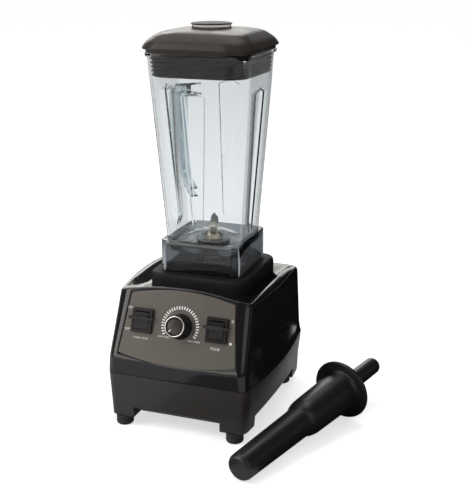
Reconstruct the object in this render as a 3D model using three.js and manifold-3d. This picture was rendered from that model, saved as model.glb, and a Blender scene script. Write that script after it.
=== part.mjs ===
// Countertop blender with a square two-litre jar, its lid, its drive and a tamper.
// Millimetres, +Z up, front towards -Y. The origin is on the jar and motor axis at the
// underside of the base pan; the rubber feet reach below it to the worktop.
import * as THREE from 'three';
import { mergeVertices } from 'three/addons/utils/BufferGeometryUtils.js';
import Module from 'manifold-3d';

const wasm = await Module();
wasm.setup();

// ---------------------------------------------------------------- driving dimensions
const GAP = 0.3;               // clearance left between pieces that touch
const FOOT_DROP = 22;          // base pan underside above the worktop

// base outline, seen from above
const FRONT_Y = -138;          // front face at the seam
const REAR_Y = 103;            // rear face at the seam
const CORNER_X = 100;          // half width at the front corners
const SIDE_BULGE = 9;          // how far the sides swell between the corners
const SEAM = 73;               // seam between the two housings, above the worktop
const LEG_FOOT = 13.5;         // underside of the legs above the worktop
const LEG_X = 60;              // inner side of the legs
const LEG_FRONT_Y = -105;      // rear side of the front legs
const LEG_REAR_Y = 54;         // front side of the rear legs
const FOOT_R = 11.4;
const FOOT_X = 77.5;
const FOOT_FRONT_Y = -127;
const FOOT_REAR_Y = 67;
const WALL = 3;

// upper housing
const DECK = 171.5;            // dished deck round the jar pad, above the worktop
const DECK_WALL = 5;           // thickness of the deck
const PAD_POCKET = 1.2;        // depth of the pad's pocket in the deck
const RIM_LOW = 179;           // raised rim at the front corners
const RIM_ARC = 9;             // rise of the rim's arch over the panel
const RIM_SIDE = 2.5;          // rise of the rim's arch along the sides
const RIM_CORNER = 5;           // drop of the rim at the front corners
const RIM_FALL = 9;            // drop of the rim towards the back
const PANEL_LEAN = THREE.MathUtils.degToRad(20.3);
const PANEL_FOOT = 94;         // height at which the front face starts to lean back
const PANEL_HALF_TOP = 71;
const PANEL_HALF_LOW = 80.5;
const PANEL_HEIGHT = 80;       // slope length of the panel at its sides
const PANEL_ARC = 8.5;         // bow of the upper and lower panel edges
const PANEL_THICK = 2.6;
const PANEL_FRAME = 7;         // housing face thickness behind the panel's rim
const GROOVE = 1.4;            // open groove around the panel

// controls, distances measured up the panel slope from its lower corners
const SWITCH_X = 51.4;
const SWITCH_W = 28.5;
const SWITCH_H = 31.8;
const SWITCH_UP = 45;
const EAR_OUT = 2.8;           // how far a rocker's bar stands out beyond its frame
const KNOB_X = 1;
const KNOB_UP = 43.4;
const KNOB_R = 13.3;
const KNOB_H = 18.5;
const ROCK = THREE.MathUtils.degToRad(7);    // rest tilt of the rockers, upper half out

// pad and jar
const PAD_HALF = 68.1;
const PAD_CORNER = 18.9;
const PAD_RISE = 19.9;         // pad's rim above the deck
const PAD_TOP = DECK + PAD_RISE;
const SKIRT_HALF = 55.1;
const SKIRT_CHAMFER = 7;
const SKIRT_HEIGHT = 42.4;     // skirt's top above the pad
const SKIRT_TOP = PAD_TOP + SKIRT_HEIGHT;
const SKIRT_WALL = 3.2;
const JAR_BOTTOM = SKIRT_TOP - 14.8;
const JAR_FLOOR = JAR_BOTTOM + 5;
const JAR_HEIGHT = 258;
const JAR_TOP = JAR_BOTTOM + JAR_HEIGHT;
const JAR_HALF_LOW = 51;
const JAR_HALF_TOP = 69.6;
const JAR_CORNER_LOW = 22;
const JAR_CORNER_TOP = 29;
const JAR_WALL = 2.4;
const RIM_OUT = 3;             // how far the rim lip stands out
const SPOUT_OUT = 9;
const SPOUT_DIP = 4.5;
const FLUTE_TOP = JAR_TOP - 52; // shoulders of the recessed flutes
const FLUTE_PEAK = 6;          // height of the pointed flute top
const FLUTE_HALF_TOP = 16;
const FLUTE_HALF_LOW = 6.5;
const FLUTE_DEPTH = 5;
const HANDLE_REACH = 118;      // grip centre from the jar axis
const HANDLE_TOP = JAR_TOP - 60;
const HANDLE_LOW = JAR_BOTTOM + 49;
const HANDLE_W = 20;
const HANDLE_T = 13;

// lid and cap
const LID_HALF = 74;
const LID_CORNER = 29.5;
const LID_EDGE = JAR_TOP + 4;  // underside of the lid's outer edge
const LID_RISE = 23.6;         // crown above the outer edge
const LID_CROWN = LID_EDGE + LID_RISE;    // flat middle of the lid
const BAND_DEPTH = 30;         // ribbed band's reach into the jar
const BAND_LOW = JAR_TOP - BAND_DEPTH;
const BAND_RIBS = 5;
const CAP_R = 26.6;
const CAP_NECK_R = 24;
const CAP_RISE = 6.6;          // disc above the crown
const CAP_TOP = LID_CROWN + CAP_RISE;
const CAP_DISC = 1.9;          // thickness of the cap's cover

// blade unit
const STUD_TOP = DECK + 28.5;  // top of the drive stud
const BLADE_SHAFT_R = 4;
const HUB_R = 13;
const NECK_R = 15.6;
const BLADE_BEARING_R = 11;
const BLADE_PLANE = JAR_FLOOR + 15;
const BLADE_REACH = 36;

// motor
const MOTOR_SHAFT_R = 5;
const STACK_LOW = 86;
const STACK_TOP = 132;
const STATOR_HALF = 45;
const ROTOR_R = 24;
const BEARING_R = 13;
const BEARING_T = 9;
const FAN_R = 38;

// tamper, lying on the worktop beside the base
const TAMPER_TIP = [116.6, -221.6];
const TAMPER_TURN = THREE.MathUtils.degToRad(71.2);
const TAMPER_ROD = 122;
const TAMPER_STOP = 219;
const TAMPER_LENGTH = 301;
const TAMPER_STOP_R = 40.2;
const TAMPER_TIP_R = 17.5;

// ---------------------------------------------------------------- toolkit
const lerp = THREE.MathUtils.lerp;
const clamp01 = (v) => Math.min(1, Math.max(0, v));

/** Height above the worktop turned into the part's own frame. */
const up = (height) => height - FOOT_DROP;

/** Closed solid from a three.js geometry, with shared corners joined. */
function solid(geometry) {
  const bare = new THREE.BufferGeometry();
  bare.setAttribute('position', geometry.getAttribute('position'));
  if (geometry.index) bare.setIndex(geometry.index);
  const joined = mergeVertices(bare, 1e-4);
  const corners = joined.getAttribute('position').array;
  const source = joined.index.array;
  let triangles = [];
  let volume = 0;
  for (let i = 0; i < source.length; i += 3) {
    const [a, b, c] = [source[i], source[i + 1], source[i + 2]];
    if (a === b || b === c || c === a) continue;
    triangles.push(a, b, c);
    const p = new THREE.Vector3().fromArray(corners, 3 * a);
    const q = new THREE.Vector3().fromArray(corners, 3 * b);
    const r = new THREE.Vector3().fromArray(corners, 3 * c);
    volume += p.dot(q.cross(r));
  }
  if (volume < 0) triangles = triangles.reverse();
  return new wasm.Manifold(new wasm.Mesh({
    numProp: 3,
    vertProperties: new Float32Array(corners),
    triVerts: new Uint32Array(triangles),
  }));
}

/** three.js geometry of a finished solid. */
function geometryOf(body) {
  const mesh = body.getMesh();
  const geometry = new THREE.BufferGeometry();
  geometry.setAttribute('position', new THREE.BufferAttribute(mesh.vertProperties, 3));
  geometry.setIndex(new THREE.BufferAttribute(mesh.triVerts, 1));
  const flat = geometry.toNonIndexed();
  flat.computeVertexNormals();
  return flat;
}

const union = (...bodies) => bodies.reduce((a, b) => a.add(b));
const cut = (body, ...tools) => tools.reduce((a, b) => a.subtract(b), body);

/** Box between two corners. */
function box(x0, x1, y0, y1, z0, z1) {
  const g = new THREE.BoxGeometry(x1 - x0, y1 - y0, z1 - z0);
  g.translate((x0 + x1) / 2, (y0 + y1) / 2, (z0 + z1) / 2);
  return solid(g);
}

/** Body turned about Z from a closed [radius, height] outline. */
function turned(outline, segments = 24) {
  const points = outline.map(([r, z]) => new THREE.Vector2(Math.max(r, 0), z));
  points.push(points[0].clone());
  const g = new THREE.LatheGeometry(points, segments);
  g.rotateX(Math.PI / 2);
  return solid(g);
}

/** Upright cylinder. */
const rod = (r, z0, z1, segments = 24) =>
  turned([[0, z0], [r, z0], [r, z1], [0, z1]], segments);

/** Upright tube. */
const tube = (r0, r1, z0, z1, segments = 24) =>
  turned([[r0, z0], [r1, z0], [r1, z1], [r0, z1]], segments);

/** Shape pushed up from z0 to z1. */
function prism(shape, z0, z1, curveSegments = 5) {
  const options = { depth: z1 - z0, bevelEnabled: false, curveSegments };
  const g = new THREE.ExtrudeGeometry(shape, options);
  g.translate(0, 0, z0);
  return solid(g);
}

/** Skin over rings of equal length; capped at both ends, or joined end to end. */
function loft(rings, endless = false) {
  const count = rings[0].length;
  const corners = rings.flat().flatMap((p) => [p.x, p.y, p.z]);
  const index = [];
  const spans = endless ? rings.length : rings.length - 1;
  for (let j = 0; j < spans; j += 1) {
    const low = j * count;
    const high = ((j + 1) % rings.length) * count;
    for (let i = 0; i < count; i += 1) {
      const k = (i + 1) % count;
      index.push(low + i, low + k, high + k);
      index.push(low + i, high + k, high + i);
    }
  }
  if (!endless) {
    for (const [ring, start, flip] of [[rings[0], 0, true],
      [rings.at(-1), (rings.length - 1) * count, false]]) {
      const flat = ring.map((p) => new THREE.Vector2(p.x, p.y));
      for (const [a, b, c] of THREE.ShapeUtils.triangulateShape(flat, [])) {
        index.push(start + a, start + (flip ? c : b), start + (flip ? b : c));
      }
    }
  }
  const g = new THREE.BufferGeometry();
  g.setAttribute('position', new THREE.Float32BufferAttribute(corners, 3));
  g.setIndex(index);
  return solid(g);
}

/** The solid moved by a three.js matrix. */
function placed(body, matrix) {
  const g = geometryOf(body);
  g.applyMatrix4(matrix);
  return solid(g);
}

const moved = (body, x, y, z) => placed(body, new THREE.Matrix4().makeTranslation(x, y, z));
const spun = (body, angle) => placed(body, new THREE.Matrix4().makeRotationZ(angle));

/** Copies of a solid turned about Z. */
const around = (body, count, start = 0) =>
  Array.from({ length: count }, (_, i) => spun(body, start + (i * 2 * Math.PI) / count));

/** Rectangle with rounded corners. */
function roundedRect(w, h, r) {
  const s = new THREE.Shape();
  s.moveTo(-w / 2 + r, -h / 2);
  s.lineTo(w / 2 - r, -h / 2);
  s.absarc(w / 2 - r, -h / 2 + r, r, -Math.PI / 2, 0, false);
  s.lineTo(w / 2, h / 2 - r);
  s.absarc(w / 2 - r, h / 2 - r, r, 0, Math.PI / 2, false);
  s.lineTo(-w / 2 + r, h / 2);
  s.absarc(-w / 2 + r, h / 2 - r, r, Math.PI / 2, Math.PI, false);
  s.lineTo(-w / 2, -h / 2 + r);
  s.absarc(-w / 2 + r, -h / 2 + r, r, Math.PI, 1.5 * Math.PI, false);
  return s;
}

// ---------------------------------------------------------------- materials
const paint = (color, roughness, metalness = 0, extra = {}) =>
  new THREE.MeshStandardMaterial({ color, roughness, metalness, ...extra });

const finish = {
  glossBlack: paint(0x0c0c0d, 0.15),
  charcoal: paint(0x2e2c2a, 0.45),
  panelGrey: paint(0x5f5a54, 0.5),
  black: paint(0x161616, 0.5),
  rubber: paint(0x181818, 0.85),
  clear: paint(0xdfe8ea, 0.05, 0, { transparent: true, opacity: 0.35 }),
  smoke: paint(0x6e7880, 0.08, 0, { transparent: true, opacity: 0.5 }),
  chrome: paint(0xd8d8d8, 0.1, 1),
  steel: paint(0xb4b4b2, 0.3, 1),
  bronze: paint(0x9a7b45, 0.35, 1),
  copper: paint(0xb06a34, 0.4, 1),
  lamination: paint(0x77787a, 0.55, 1),
  alloy: paint(0xa9aaac, 0.5, 1),
  carbon: paint(0x2a2a2c, 0.8),
  board: paint(0x1f5a38, 0.5),
  nylon: paint(0xd9d6cc, 0.6),
};

const blender = new THREE.Group();
blender.name = 'countertop_blender';

/** Names a finished solid, gives it its material and adds it to the blender. */
function add(name, body, material) {
  const mesh = new THREE.Mesh(geometryOf(body), material);
  mesh.name = name;
  blender.add(mesh);
}

// ---------------------------------------------------------------- base housings
/** Front face position at a height: upright to the panel's foot, then leaning back. */
const frontY = (height) => FRONT_Y + Math.max(0, height - PANEL_FOOT) * Math.tan(PANEL_LEAN);

/** Height of the rim round the dished deck: arched over the panel, falling at the back. */
function rimHeight(x, y) {
  const front = clamp01(1 - (y - frontY(RIM_LOW)) / 50);
  const across = clamp01(1 - (x / CORNER_X) ** 2);
  const along = clamp01(1 - (y / REAR_Y) ** 2) * clamp01(Math.abs(x) / CORNER_X);
  const back = clamp01((y - REAR_Y + 65) / 58);
  const corner = clamp01((Math.abs(x) - PANEL_HALF_TOP) / 18) * front;
  return RIM_LOW + RIM_ARC * across * front + RIM_SIDE * along - RIM_FALL * back
    - RIM_CORNER * corner;
}

/**
 * Half outline of the base at a height, from the middle of the front round to the middle
 * of the back. `wall` moves it inwards, `front` moves only the front face.
 */
function halfOutline(height, wall, front) {
  const t = clamp01((height - SEAM) / (RIM_LOW - SEAM));
  const low = clamp01((SEAM - height) / (SEAM - LEG_FOOT));
  const yf = frontY(height) + 2 * low;
  const faceX = CORNER_X - 11 - 12 * t - low;
  const sideX = CORNER_X - 3 - 6 * t - 3 * low;
  const sideY = yf + 6 + t;
  const rearX = CORNER_X - 4 - 4 * t - 2 * low;
  const rearY = REAR_Y - 10 - 4 * t - 3 * low;
  const backY = REAR_Y - 7 * t - 3 * low;
  const bulge = SIDE_BULGE - 3 * low;
  const flare = height >= SEAM ? 2.5 * clamp01(1 - (height - SEAM) / 15) ** 2 : 0;
  const points = [];
  for (const u of [0, 0.5, 1]) {
    points.push([u * (faceX - wall * 0.5), yf + wall + front]);
  }
  for (const u of [0, 0.1, 0.25, 0.42, 0.6, 0.78, 0.92, 1]) {
    const x = lerp(sideX, rearX, u) + bulge * Math.sin(Math.PI * u) + flare * Math.sqrt(u);
    points.push([x - wall, lerp(sideY + (u < 0.05 ? wall + front : 0), rearY, u)]);
  }
  points.push([rearX - 5 - wall * 0.8, backY - 5 - wall * 0.8]);
  points.push([rearX - 14, backY - wall]);
  points.push([(rearX - 14) / 2, backY - wall]);
  points.push([0, backY - wall]);
  return points;
}

/** Full outline of the base at a height given per point, as a ring. */
function baseRing(heightOf, wall = 0, front = 0) {
  const count = halfOutline(SEAM, 0, 0).length;
  const ring = [];
  for (let i = 0; i < count; i += 1) {
    const height = heightOf(i);
    const [x, y] = halfOutline(height, wall, front)[i];
    ring.push(new THREE.Vector3(x, y, up(height)));
  }
  for (let i = count - 2; i > 0; i -= 1) {
    const p = ring[i];
    ring.push(new THREE.Vector3(-p.x, p.y, p.z));
  }
  return ring;
}

/** Shares of the edges before and after an outline point that its corner's rounding takes. */
const CORNER_SHARE = { 2: [0.08, 0.45], 3: [0.45, 0.4], 25: [0.4, 0.45], 26: [0.45, 0.08] };
const cornerShare = (i) => CORNER_SHARE[i] ?? [0.5, 0.5];

/** Ring of an outline with every corner rounded by a quadratic curve. */
function rounded(ring) {
  const count = ring.length;
  return ring.flatMap((p, i) => {
    const [before, after] = cornerShare(i);
    const from = p.clone().lerp(ring[(i + count - 1) % count], before);
    const to = p.clone().lerp(ring[(i + 1) % count], after);
    const middle = p.clone().multiplyScalar(2).add(from).add(to).multiplyScalar(0.25);
    const shared = after + cornerShare((i + 1) % count)[0] > 0.99;
    return shared ? [from, middle] : [from, middle, to];
  });
}

/** Rounding radius along the rim: crisp over the panel, softer towards the back. */
const edgeRadius = (i) => [2, 2, 2, 4, 6, 8, 9, 9, 9, 9, 9, 9, 9, 8, 8][i];

/**
 * Outer or inner form of the upper housing, closed at the top by the dished deck. The inner
 * one (`deckWall` above zero) leaves out the flare and most of the edge rounding.
 */
function upperForm(wall, front, foot, deckWall) {
  const plain = deckWall > 0;
  const edge = (i) => {
    const [x, y] = halfOutline(RIM_LOW, wall, front)[i];
    return rimHeight(x, y) - deckWall - edgeRadius(i);
  };
  const rings = [baseRing(() => foot, wall, front)];
  for (const h of plain ? [PANEL_FOOT] : [SEAM + 5, SEAM + 15, PANEL_FOOT]) {
    rings.push(baseRing(() => h, wall, front));
  }
  for (const v of plain ? [1] : [0.35, 0.7, 1]) {
    rings.push(baseRing((i) => lerp(PANEL_FOOT, edge(i), v), wall, front));
  }
  const top = rings.at(-1);
  const count = halfOutline(SEAM, 0, 0).length;
  const radiusAt = (i) => edgeRadius(i < count ? i : 2 * (count - 1) - i);
  for (const angle of plain ? [Math.PI / 2] : [0.5, 1.0, Math.PI / 2]) {
    rings.push(top.map((p, i) => {
      const r = radiusAt(i);
      const inward = new THREE.Vector2(-p.x, -20 - p.y).normalize();
      const run = r * (1 - Math.cos(angle));
      const height = p.z + r * Math.sin(angle);
      return new THREE.Vector3(p.x + inward.x * run, p.y + inward.y * run, height);
    }));
  }
  const smooth = rings.map(rounded);
  const rim = smooth.at(-1);
  const floor = up(DECK - deckWall);
  const pad = rim.map((p) => {
    const angle = Math.atan2(p.y, p.x);
    const reach = squareReach(angle, PAD_HALF + 2, PAD_CORNER + 2);
    return new THREE.Vector3(reach * Math.cos(angle), reach * Math.sin(angle), floor);
  });
  const between = (t, share) => rim.map((p, i) => new THREE.Vector3(
    lerp(p.x, pad[i].x, t), lerp(p.y, pad[i].y, t), lerp(p.z, floor, share)));
  if (!plain) smooth.push(between(0.12, 0.06), between(0.55, 0.62));
  smooth.push(pad, pad.map((p) => new THREE.Vector3(p.x * 0.2, p.y * 0.2, floor)));
  return loft(smooth);
}

/** Matrix from panel coordinates (right, up the slope, outward) to the part's frame. */
function panelMatrix(x, along, out) {
  const right = new THREE.Vector3(1, 0, 0);
  const slope = new THREE.Vector3(0, Math.sin(PANEL_LEAN), Math.cos(PANEL_LEAN));
  const outward = new THREE.Vector3(0, -Math.cos(PANEL_LEAN), Math.sin(PANEL_LEAN));
  const foot = PANEL_FOOT + 8;
  const origin = new THREE.Vector3(0, frontY(foot), up(foot));
  origin.addScaledVector(right, x).addScaledVector(slope, along).addScaledVector(outward, out);
  return new THREE.Matrix4().makeBasis(right, slope, outward).setPosition(origin);
}

/** Outline of the control panel in panel coordinates, grown by a margin. */
function panelShape(margin) {
  const s = new THREE.Shape();
  const low = PANEL_HALF_LOW + margin;
  const top = PANEL_HALF_TOP + margin;
  const r = 3;
  s.moveTo(-low + r, -margin);
  s.quadraticCurveTo(0, -2 * PANEL_ARC - margin, low - r, -margin);
  s.quadraticCurveTo(low, -margin, low - r * 0.1, r - margin);
  s.lineTo(top + r * 0.1, PANEL_HEIGHT - r + margin);
  s.quadraticCurveTo(top, PANEL_HEIGHT + margin, top - r, PANEL_HEIGHT + margin);
  s.quadraticCurveTo(0, PANEL_HEIGHT + 2 * PANEL_ARC + margin, -top + r, PANEL_HEIGHT + margin);
  s.quadraticCurveTo(-top, PANEL_HEIGHT + margin, -top - r * 0.1, PANEL_HEIGHT - r + margin);
  s.lineTo(-low + r * 0.1, r - margin);
  s.quadraticCurveTo(-low, -margin, -low + r, -margin);
  return s;
}

const PAD_SEAT = DECK - PAD_POCKET;
const SEAT = -(PANEL_THICK + GAP + 0.7);     // floor of the panel's recess

function upperHousing() {
  const outer = upperForm(0, 0, SEAM + GAP, 0);
  const inner = upperForm(WALL, PANEL_FRAME, SEAM + GAP - 1, DECK_WALL);
  const recess = placed(prism(panelShape(GROOVE), SEAT, 8, 12), panelMatrix(0, 0, 0));
  const window = roundedRect(PANEL_HALF_TOP * 2 - 12, SWITCH_H + 8, 4);
  const back = placed(prism(window, -14, SEAT + 1, 3), panelMatrix(0, SWITCH_UP, 0));
  const drive = rod(22, up(DECK - 10), up(DECK + 4));
  const plan = roundedSquare(PAD_HALF + GAP, PAD_CORNER + GAP);
  const pocket = loft([PAD_SEAT, DECK + 5].map((h) =>
    plan.map((p) => new THREE.Vector3(p.x, p.y, up(h)))));
  return cut(outer, inner, recess, back, drive, pocket);
}

function controlPanel() {
  const low = SEAT + GAP;
  const plate = prism(panelShape(0), low, low + PANEL_THICK, 12);
  const holes = [-1, 1].map((side) => {
    const hole = roundedRect(SWITCH_W - 6, SWITCH_H - 6, 1.2);
    return moved(prism(hole, low - 1, low + PANEL_THICK + 1, 2), side * SWITCH_X, SWITCH_UP, 0);
  });
  const knobHole = moved(rod(4.2, low - 1, low + PANEL_THICK + 1, 20), KNOB_X,
    KNOB_UP, 0);
  return placed(cut(plate, ...holes, knobHole), panelMatrix(0, 0, 0));
}

const PANEL_FACE = SEAT + GAP + PANEL_THICK;

/** Space under the front skirt between the legs; `grow` thickens it into the wall. */
function toeRecess(grow) {
  const s = new THREE.Shape();
  const slope = FRONT_Y + 8;
  s.moveTo(FRONT_Y - 12, up(2));
  s.lineTo(slope + grow, up(2));
  s.lineTo(slope + grow, up(FOOT_DROP + grow));
  s.lineTo(FRONT_Y - 12, up(FOOT_DROP + 18 + grow * 1.5));
  const g = new THREE.ExtrudeGeometry(s, { depth: 2 * (LEG_X + grow), bevelEnabled: false });
  g.rotateX(Math.PI / 2);
  g.rotateZ(Math.PI / 2);
  g.translate(-(LEG_X + grow), 0, 0);
  return solid(g);
}

/** Bevel under a side skirt between the legs; `grow` thickens it into the wall. */
function sideRecess(side, grow) {
  const outside = CORNER_X + SIDE_BULGE;
  const s = new THREE.Shape();
  s.moveTo(outside, up(2));
  s.lineTo(CORNER_X - 12 - grow, up(2));
  s.lineTo(CORNER_X - 12 - grow, up(FOOT_DROP + grow));
  s.lineTo(outside, up(FOOT_DROP + 13 + grow * 1.3));
  const g = new THREE.ExtrudeGeometry(s, { depth: LEG_REAR_Y - LEG_FRONT_Y, bevelEnabled: false });
  g.rotateX(Math.PI / 2);
  g.translate(0, LEG_REAR_Y, 0);
  if (side < 0) g.rotateZ(Math.PI).translate(0, LEG_REAR_Y + LEG_FRONT_Y, 0);
  return solid(g);
}

function basePan() {
  const levels = [LEG_FOOT, 40, SEAM];
  const outer = loft(levels.map((h) => rounded(baseRing(() => h))));
  const across = box(-LEG_X, LEG_X, -200, 200, up(0), up(FOOT_DROP));
  const along = box(-200, 200, LEG_FRONT_Y, LEG_REAR_Y, up(0), up(FOOT_DROP));
  const body = cut(outer, across, along, toeRecess(0), sideRecess(-1, 0), sideRecess(1, 0));
  const floor = FOOT_DROP + WALL;
  const hollow = loft([floor, SEAM + 1].map((h) => rounded(baseRing(() => h, WALL))));
  const wells = FOOT_SPOTS.map(([x, y]) =>
    moved(box(-8, 8, -7, 7, up(LEG_FOOT + WALL), up(floor + 1)), x, y, 0));
  const inside = cut(hollow, toeRecess(WALL), sideRecess(-1, WALL), sideRecess(1, WALL));
  const hollowed = cut(body, inside, ...wells);
  const posts = MOUNT_SPOTS.map(([x, y]) =>
    moved(rod(7, up(FOOT_DROP + 1), up(MOUNT_LOW - GAP), 8), x, y, 0));
  const slot = new THREE.Shape();
  slot.absarc(0, 0, 42, -0.25, 0.25, false);
  slot.absarc(0, 0, 26, 0.25, -0.25, true);
  const vents = around(prism(slot, -1, WALL + 1, 2), 8, 0.3);
  const stems = FOOT_SPOTS.map(([x, y]) => moved(rod(4, up(0), up(LEG_FOOT + 6), 12), x, y, 0));
  const gland = moved(placed(rod(7, -20, 20, 12), new THREE.Matrix4().makeRotationX(Math.PI / 2)),
    GLAND_X, REAR_Y, up(GLAND_UP));
  const boardPosts = BOARD_SPOTS.map(([x, y]) =>
    moved(rod(3.4, up(FOOT_DROP + 1), up(BOARD_LOW - GAP), 8), x, y, 0));
  return cut(union(hollowed, ...posts, ...boardPosts), ...vents, ...stems, gland);
}

// ---------------------------------------------------------------- spots shared by neighbours
const FOOT_SPOTS = [[-FOOT_X, FOOT_FRONT_Y], [FOOT_X, FOOT_FRONT_Y],
  [-FOOT_X, FOOT_REAR_Y], [FOOT_X, FOOT_REAR_Y]];
const MOUNT_OFFSET = 46;
const MOUNT_LOW = 44;          // underside of the rubber motor mounts
const MOUNT_T = 8;
const MOUNT_SPOTS = [[-1, -1], [1, -1], [-1, 1], [1, 1]]
  .map(([sx, sy]) => [sx * MOUNT_OFFSET, sy * MOUNT_OFFSET]);
const GLAND_X = -52;
const GLAND_UP = 50;
const BOARD_LOW = 36;
const BOARD_Y = -92;
const BOARD_SPOTS = [[-38, BOARD_Y - 14], [38, BOARD_Y - 14], [-38, BOARD_Y + 14],
  [38, BOARD_Y + 14]];

/** Rubber foot with a stem that snaps into the leg. */
function foot() {
  const seat = up(LEG_FOOT - GAP);
  return turned([[0, up(0)], [FOOT_R - 2.5, up(0)], [FOOT_R - 0.6, up(1.4)], [FOOT_R, up(3.4)],
    [FOOT_R, seat], [3.6, seat], [3.6, up(LEG_FOOT + WALL + GAP)],
    [4.6, up(LEG_FOOT + WALL + GAP)], [3, up(LEG_FOOT + WALL + 4)],
    [0, up(LEG_FOOT + WALL + 4)]], 12);
}

/** Moulded pad the jar stands on, with the block that keys inside the jar's skirt. */
function centeringPad() {
  const ring = (half, r, height) =>
    roundedSquare(half, r).map((p) => new THREE.Vector3(p.x, p.y, up(height)));
  const block = SKIRT_HALF - SKIRT_WALL - 1;
  const rings = [
    ring(PAD_HALF - 1, PAD_CORNER - 1, PAD_SEAT + GAP),
    ring(PAD_HALF, PAD_CORNER, PAD_TOP - 9),
    ring(PAD_HALF - 0.6, PAD_CORNER, PAD_TOP - 2.5),
    ring(PAD_HALF - 3, PAD_CORNER - 2, PAD_TOP),
    ring(block, 8, PAD_TOP),
    ring(block - 1, 8, PAD_TOP + 8),
    ring(block - 6, 8, PAD_TOP + 11.5),
  ];
  const bore = rod(21, up(DECK - 10), up(PAD_TOP + 20));
  const dish = turned([[0, up(PAD_TOP + 20)], [34, up(PAD_TOP + 20)], [34, up(PAD_TOP + 12)],
    [29, up(PAD_TOP + 5)], [0, up(PAD_TOP + 5)]]);
  return cut(loft(rings), bore, dish);
}

/** Points of a rounded square, the same count for every size. */
function roundedSquare(half, r) {
  const points = [];
  for (let q = 0; q < 4; q += 1) {
    const mid = new THREE.Vector2(half - r, half - r);
    for (let i = 0; i <= 5; i += 1) {
      const a = (i * Math.PI) / 10;
      const p = new THREE.Vector2(mid.x + r * Math.cos(a), mid.y + r * Math.sin(a));
      points.push(p.rotateAround(new THREE.Vector2(), (q * Math.PI) / 2));
    }
  }
  return points;
}

// ---------------------------------------------------------------- controls
/** Snap-in switch housing: bezel, pivot ears and the body behind the panel. */
function switchHousing(x) {
  const bezel = roundedRect(SWITCH_W, SWITCH_H, 1.5);
  const body = roundedRect(SWITCH_W - 6.6, SWITCH_H - 6.6, 1);
  const low = PANEL_FACE + GAP;
  const shell = union(prism(bezel, low, low + 3.4, 2), prism(body, low - 22, low + 1, 1));
  const well = prism(roundedRect(SWITCH_W - 8, SWITCH_H - 8, 0.8), low - 12, low + 6, 1);
  return placed(cut(shell, well), panelMatrix(x, SWITCH_UP, 0));
}

/** Rocker paddle with a raised lower end and a bar above its pivot, wider than its frame. */
function rocker(x) {
  const w = SWITCH_W - 9;
  const h = SWITCH_H / 2 - 4.8;
  const s = new THREE.Shape();
  s.moveTo(-h, -1);
  s.lineTo(-h + 0.3, 4.6);
  s.lineTo(-0.6, 3.6);
  s.lineTo(0.8, 3.6);
  s.lineTo(0.8, 7.2);
  s.lineTo(6.2, 7.2);
  s.lineTo(6.6, 3.4);
  s.lineTo(h - 0.4, 2.8);
  s.lineTo(h, -1);
  s.lineTo(2.6, -4.5);
  s.lineTo(-2.6, -4.5);
  const g = new THREE.ExtrudeGeometry(s, { depth: w, bevelEnabled: false, curveSegments: 4 });
  g.rotateY(Math.PI / 2);
  g.rotateX(Math.PI / 2);
  g.translate(-w / 2, 0, 0);
  const reach = SWITCH_W / 2 + EAR_OUT;
  const body = union(solid(g), box(-reach, reach, 1.6, 5.4, 4.9, 6.9));
  const tilt = new THREE.Matrix4().makeRotationX(ROCK);
  return placed(body, panelMatrix(x, SWITCH_UP, PANEL_FACE + GAP).multiply(tilt));
}

/** Speed knob: fluted skirt, deep grip and a pointer groove on the face. */
function speedKnob() {
  const low = PANEL_FACE + GAP;
  const high = low + KNOB_H;
  const body = turned([[0, low], [KNOB_R - 0.2, low], [KNOB_R - 0.4, high - 2],
    [KNOB_R - 1.8, high - 2], [KNOB_R - 1.8, high], [0, high]], 24);
  const flute = moved(rod(1.1, low - 1, high - 3, 5), KNOB_R + 0.1, 0, 0);
  const pointer = box(-0.6, 0.6, 3, KNOB_R, high - 0.8, high + 1);
  const turnedPointer = spun(pointer, THREE.MathUtils.degToRad(135));
  const bore = rod(3.4, low - 1, low + 9, 16);
  return placed(cut(body, ...around(flute, 8), turnedPointer, bore), panelMatrix(KNOB_X, KNOB_UP, 0));
}

function knobRing() {
  const high = PANEL_FACE + GAP + KNOB_H;
  const ring = tube(KNOB_R - 1.5, KNOB_R, high - 1.7, high + 0.3, 20);
  return placed(ring, panelMatrix(KNOB_X, KNOB_UP, 0));
}

function potShaft() {
  const low = PANEL_FACE + GAP;
  const shaft = rod(3, SEAT - 4, low + 8.6, 16);
  return placed(shaft, panelMatrix(KNOB_X, KNOB_UP, 0));
}

function potBody() {
  const body = tube(3.3, 9, SEAT - 13, SEAT - 5, 12);
  const bush = tube(3.3, 3.9, SEAT - 6, PANEL_FACE - 0.4, 12);
  const lug = tube(3.85, 6.5, SEAT - 6, SEAT - 2, 6);
  const rear = rod(9, SEAT - 15, SEAT - 12.5, 12);
  return placed(union(body, bush, lug, rear), panelMatrix(KNOB_X, KNOB_UP, 0));
}

/** Speed control board with its heat sink and parts soldered on. */
function speedBoard() {
  const low = up(BOARD_LOW);
  const board = box(-44, 44, BOARD_Y - 19, BOARD_Y + 19, low, low + 1.6);
  const fins = [0, 1, 2, 3].map((i) =>
    box(-34, -10, BOARD_Y - 12 + i * 7, BOARD_Y - 10 + i * 7, low + 5, low + 20));
  const sink = box(-34, -10, BOARD_Y - 13, BOARD_Y + 12, low + 1.2, low + 6);
  const can = moved(rod(6, low + 1.2, low + 18, 16), 10, BOARD_Y, 0);
  const choke = box(22, 36, BOARD_Y - 8, BOARD_Y + 8, low + 1.2, low + 13);
  return union(board, sink, ...fins, can, choke);
}

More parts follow.
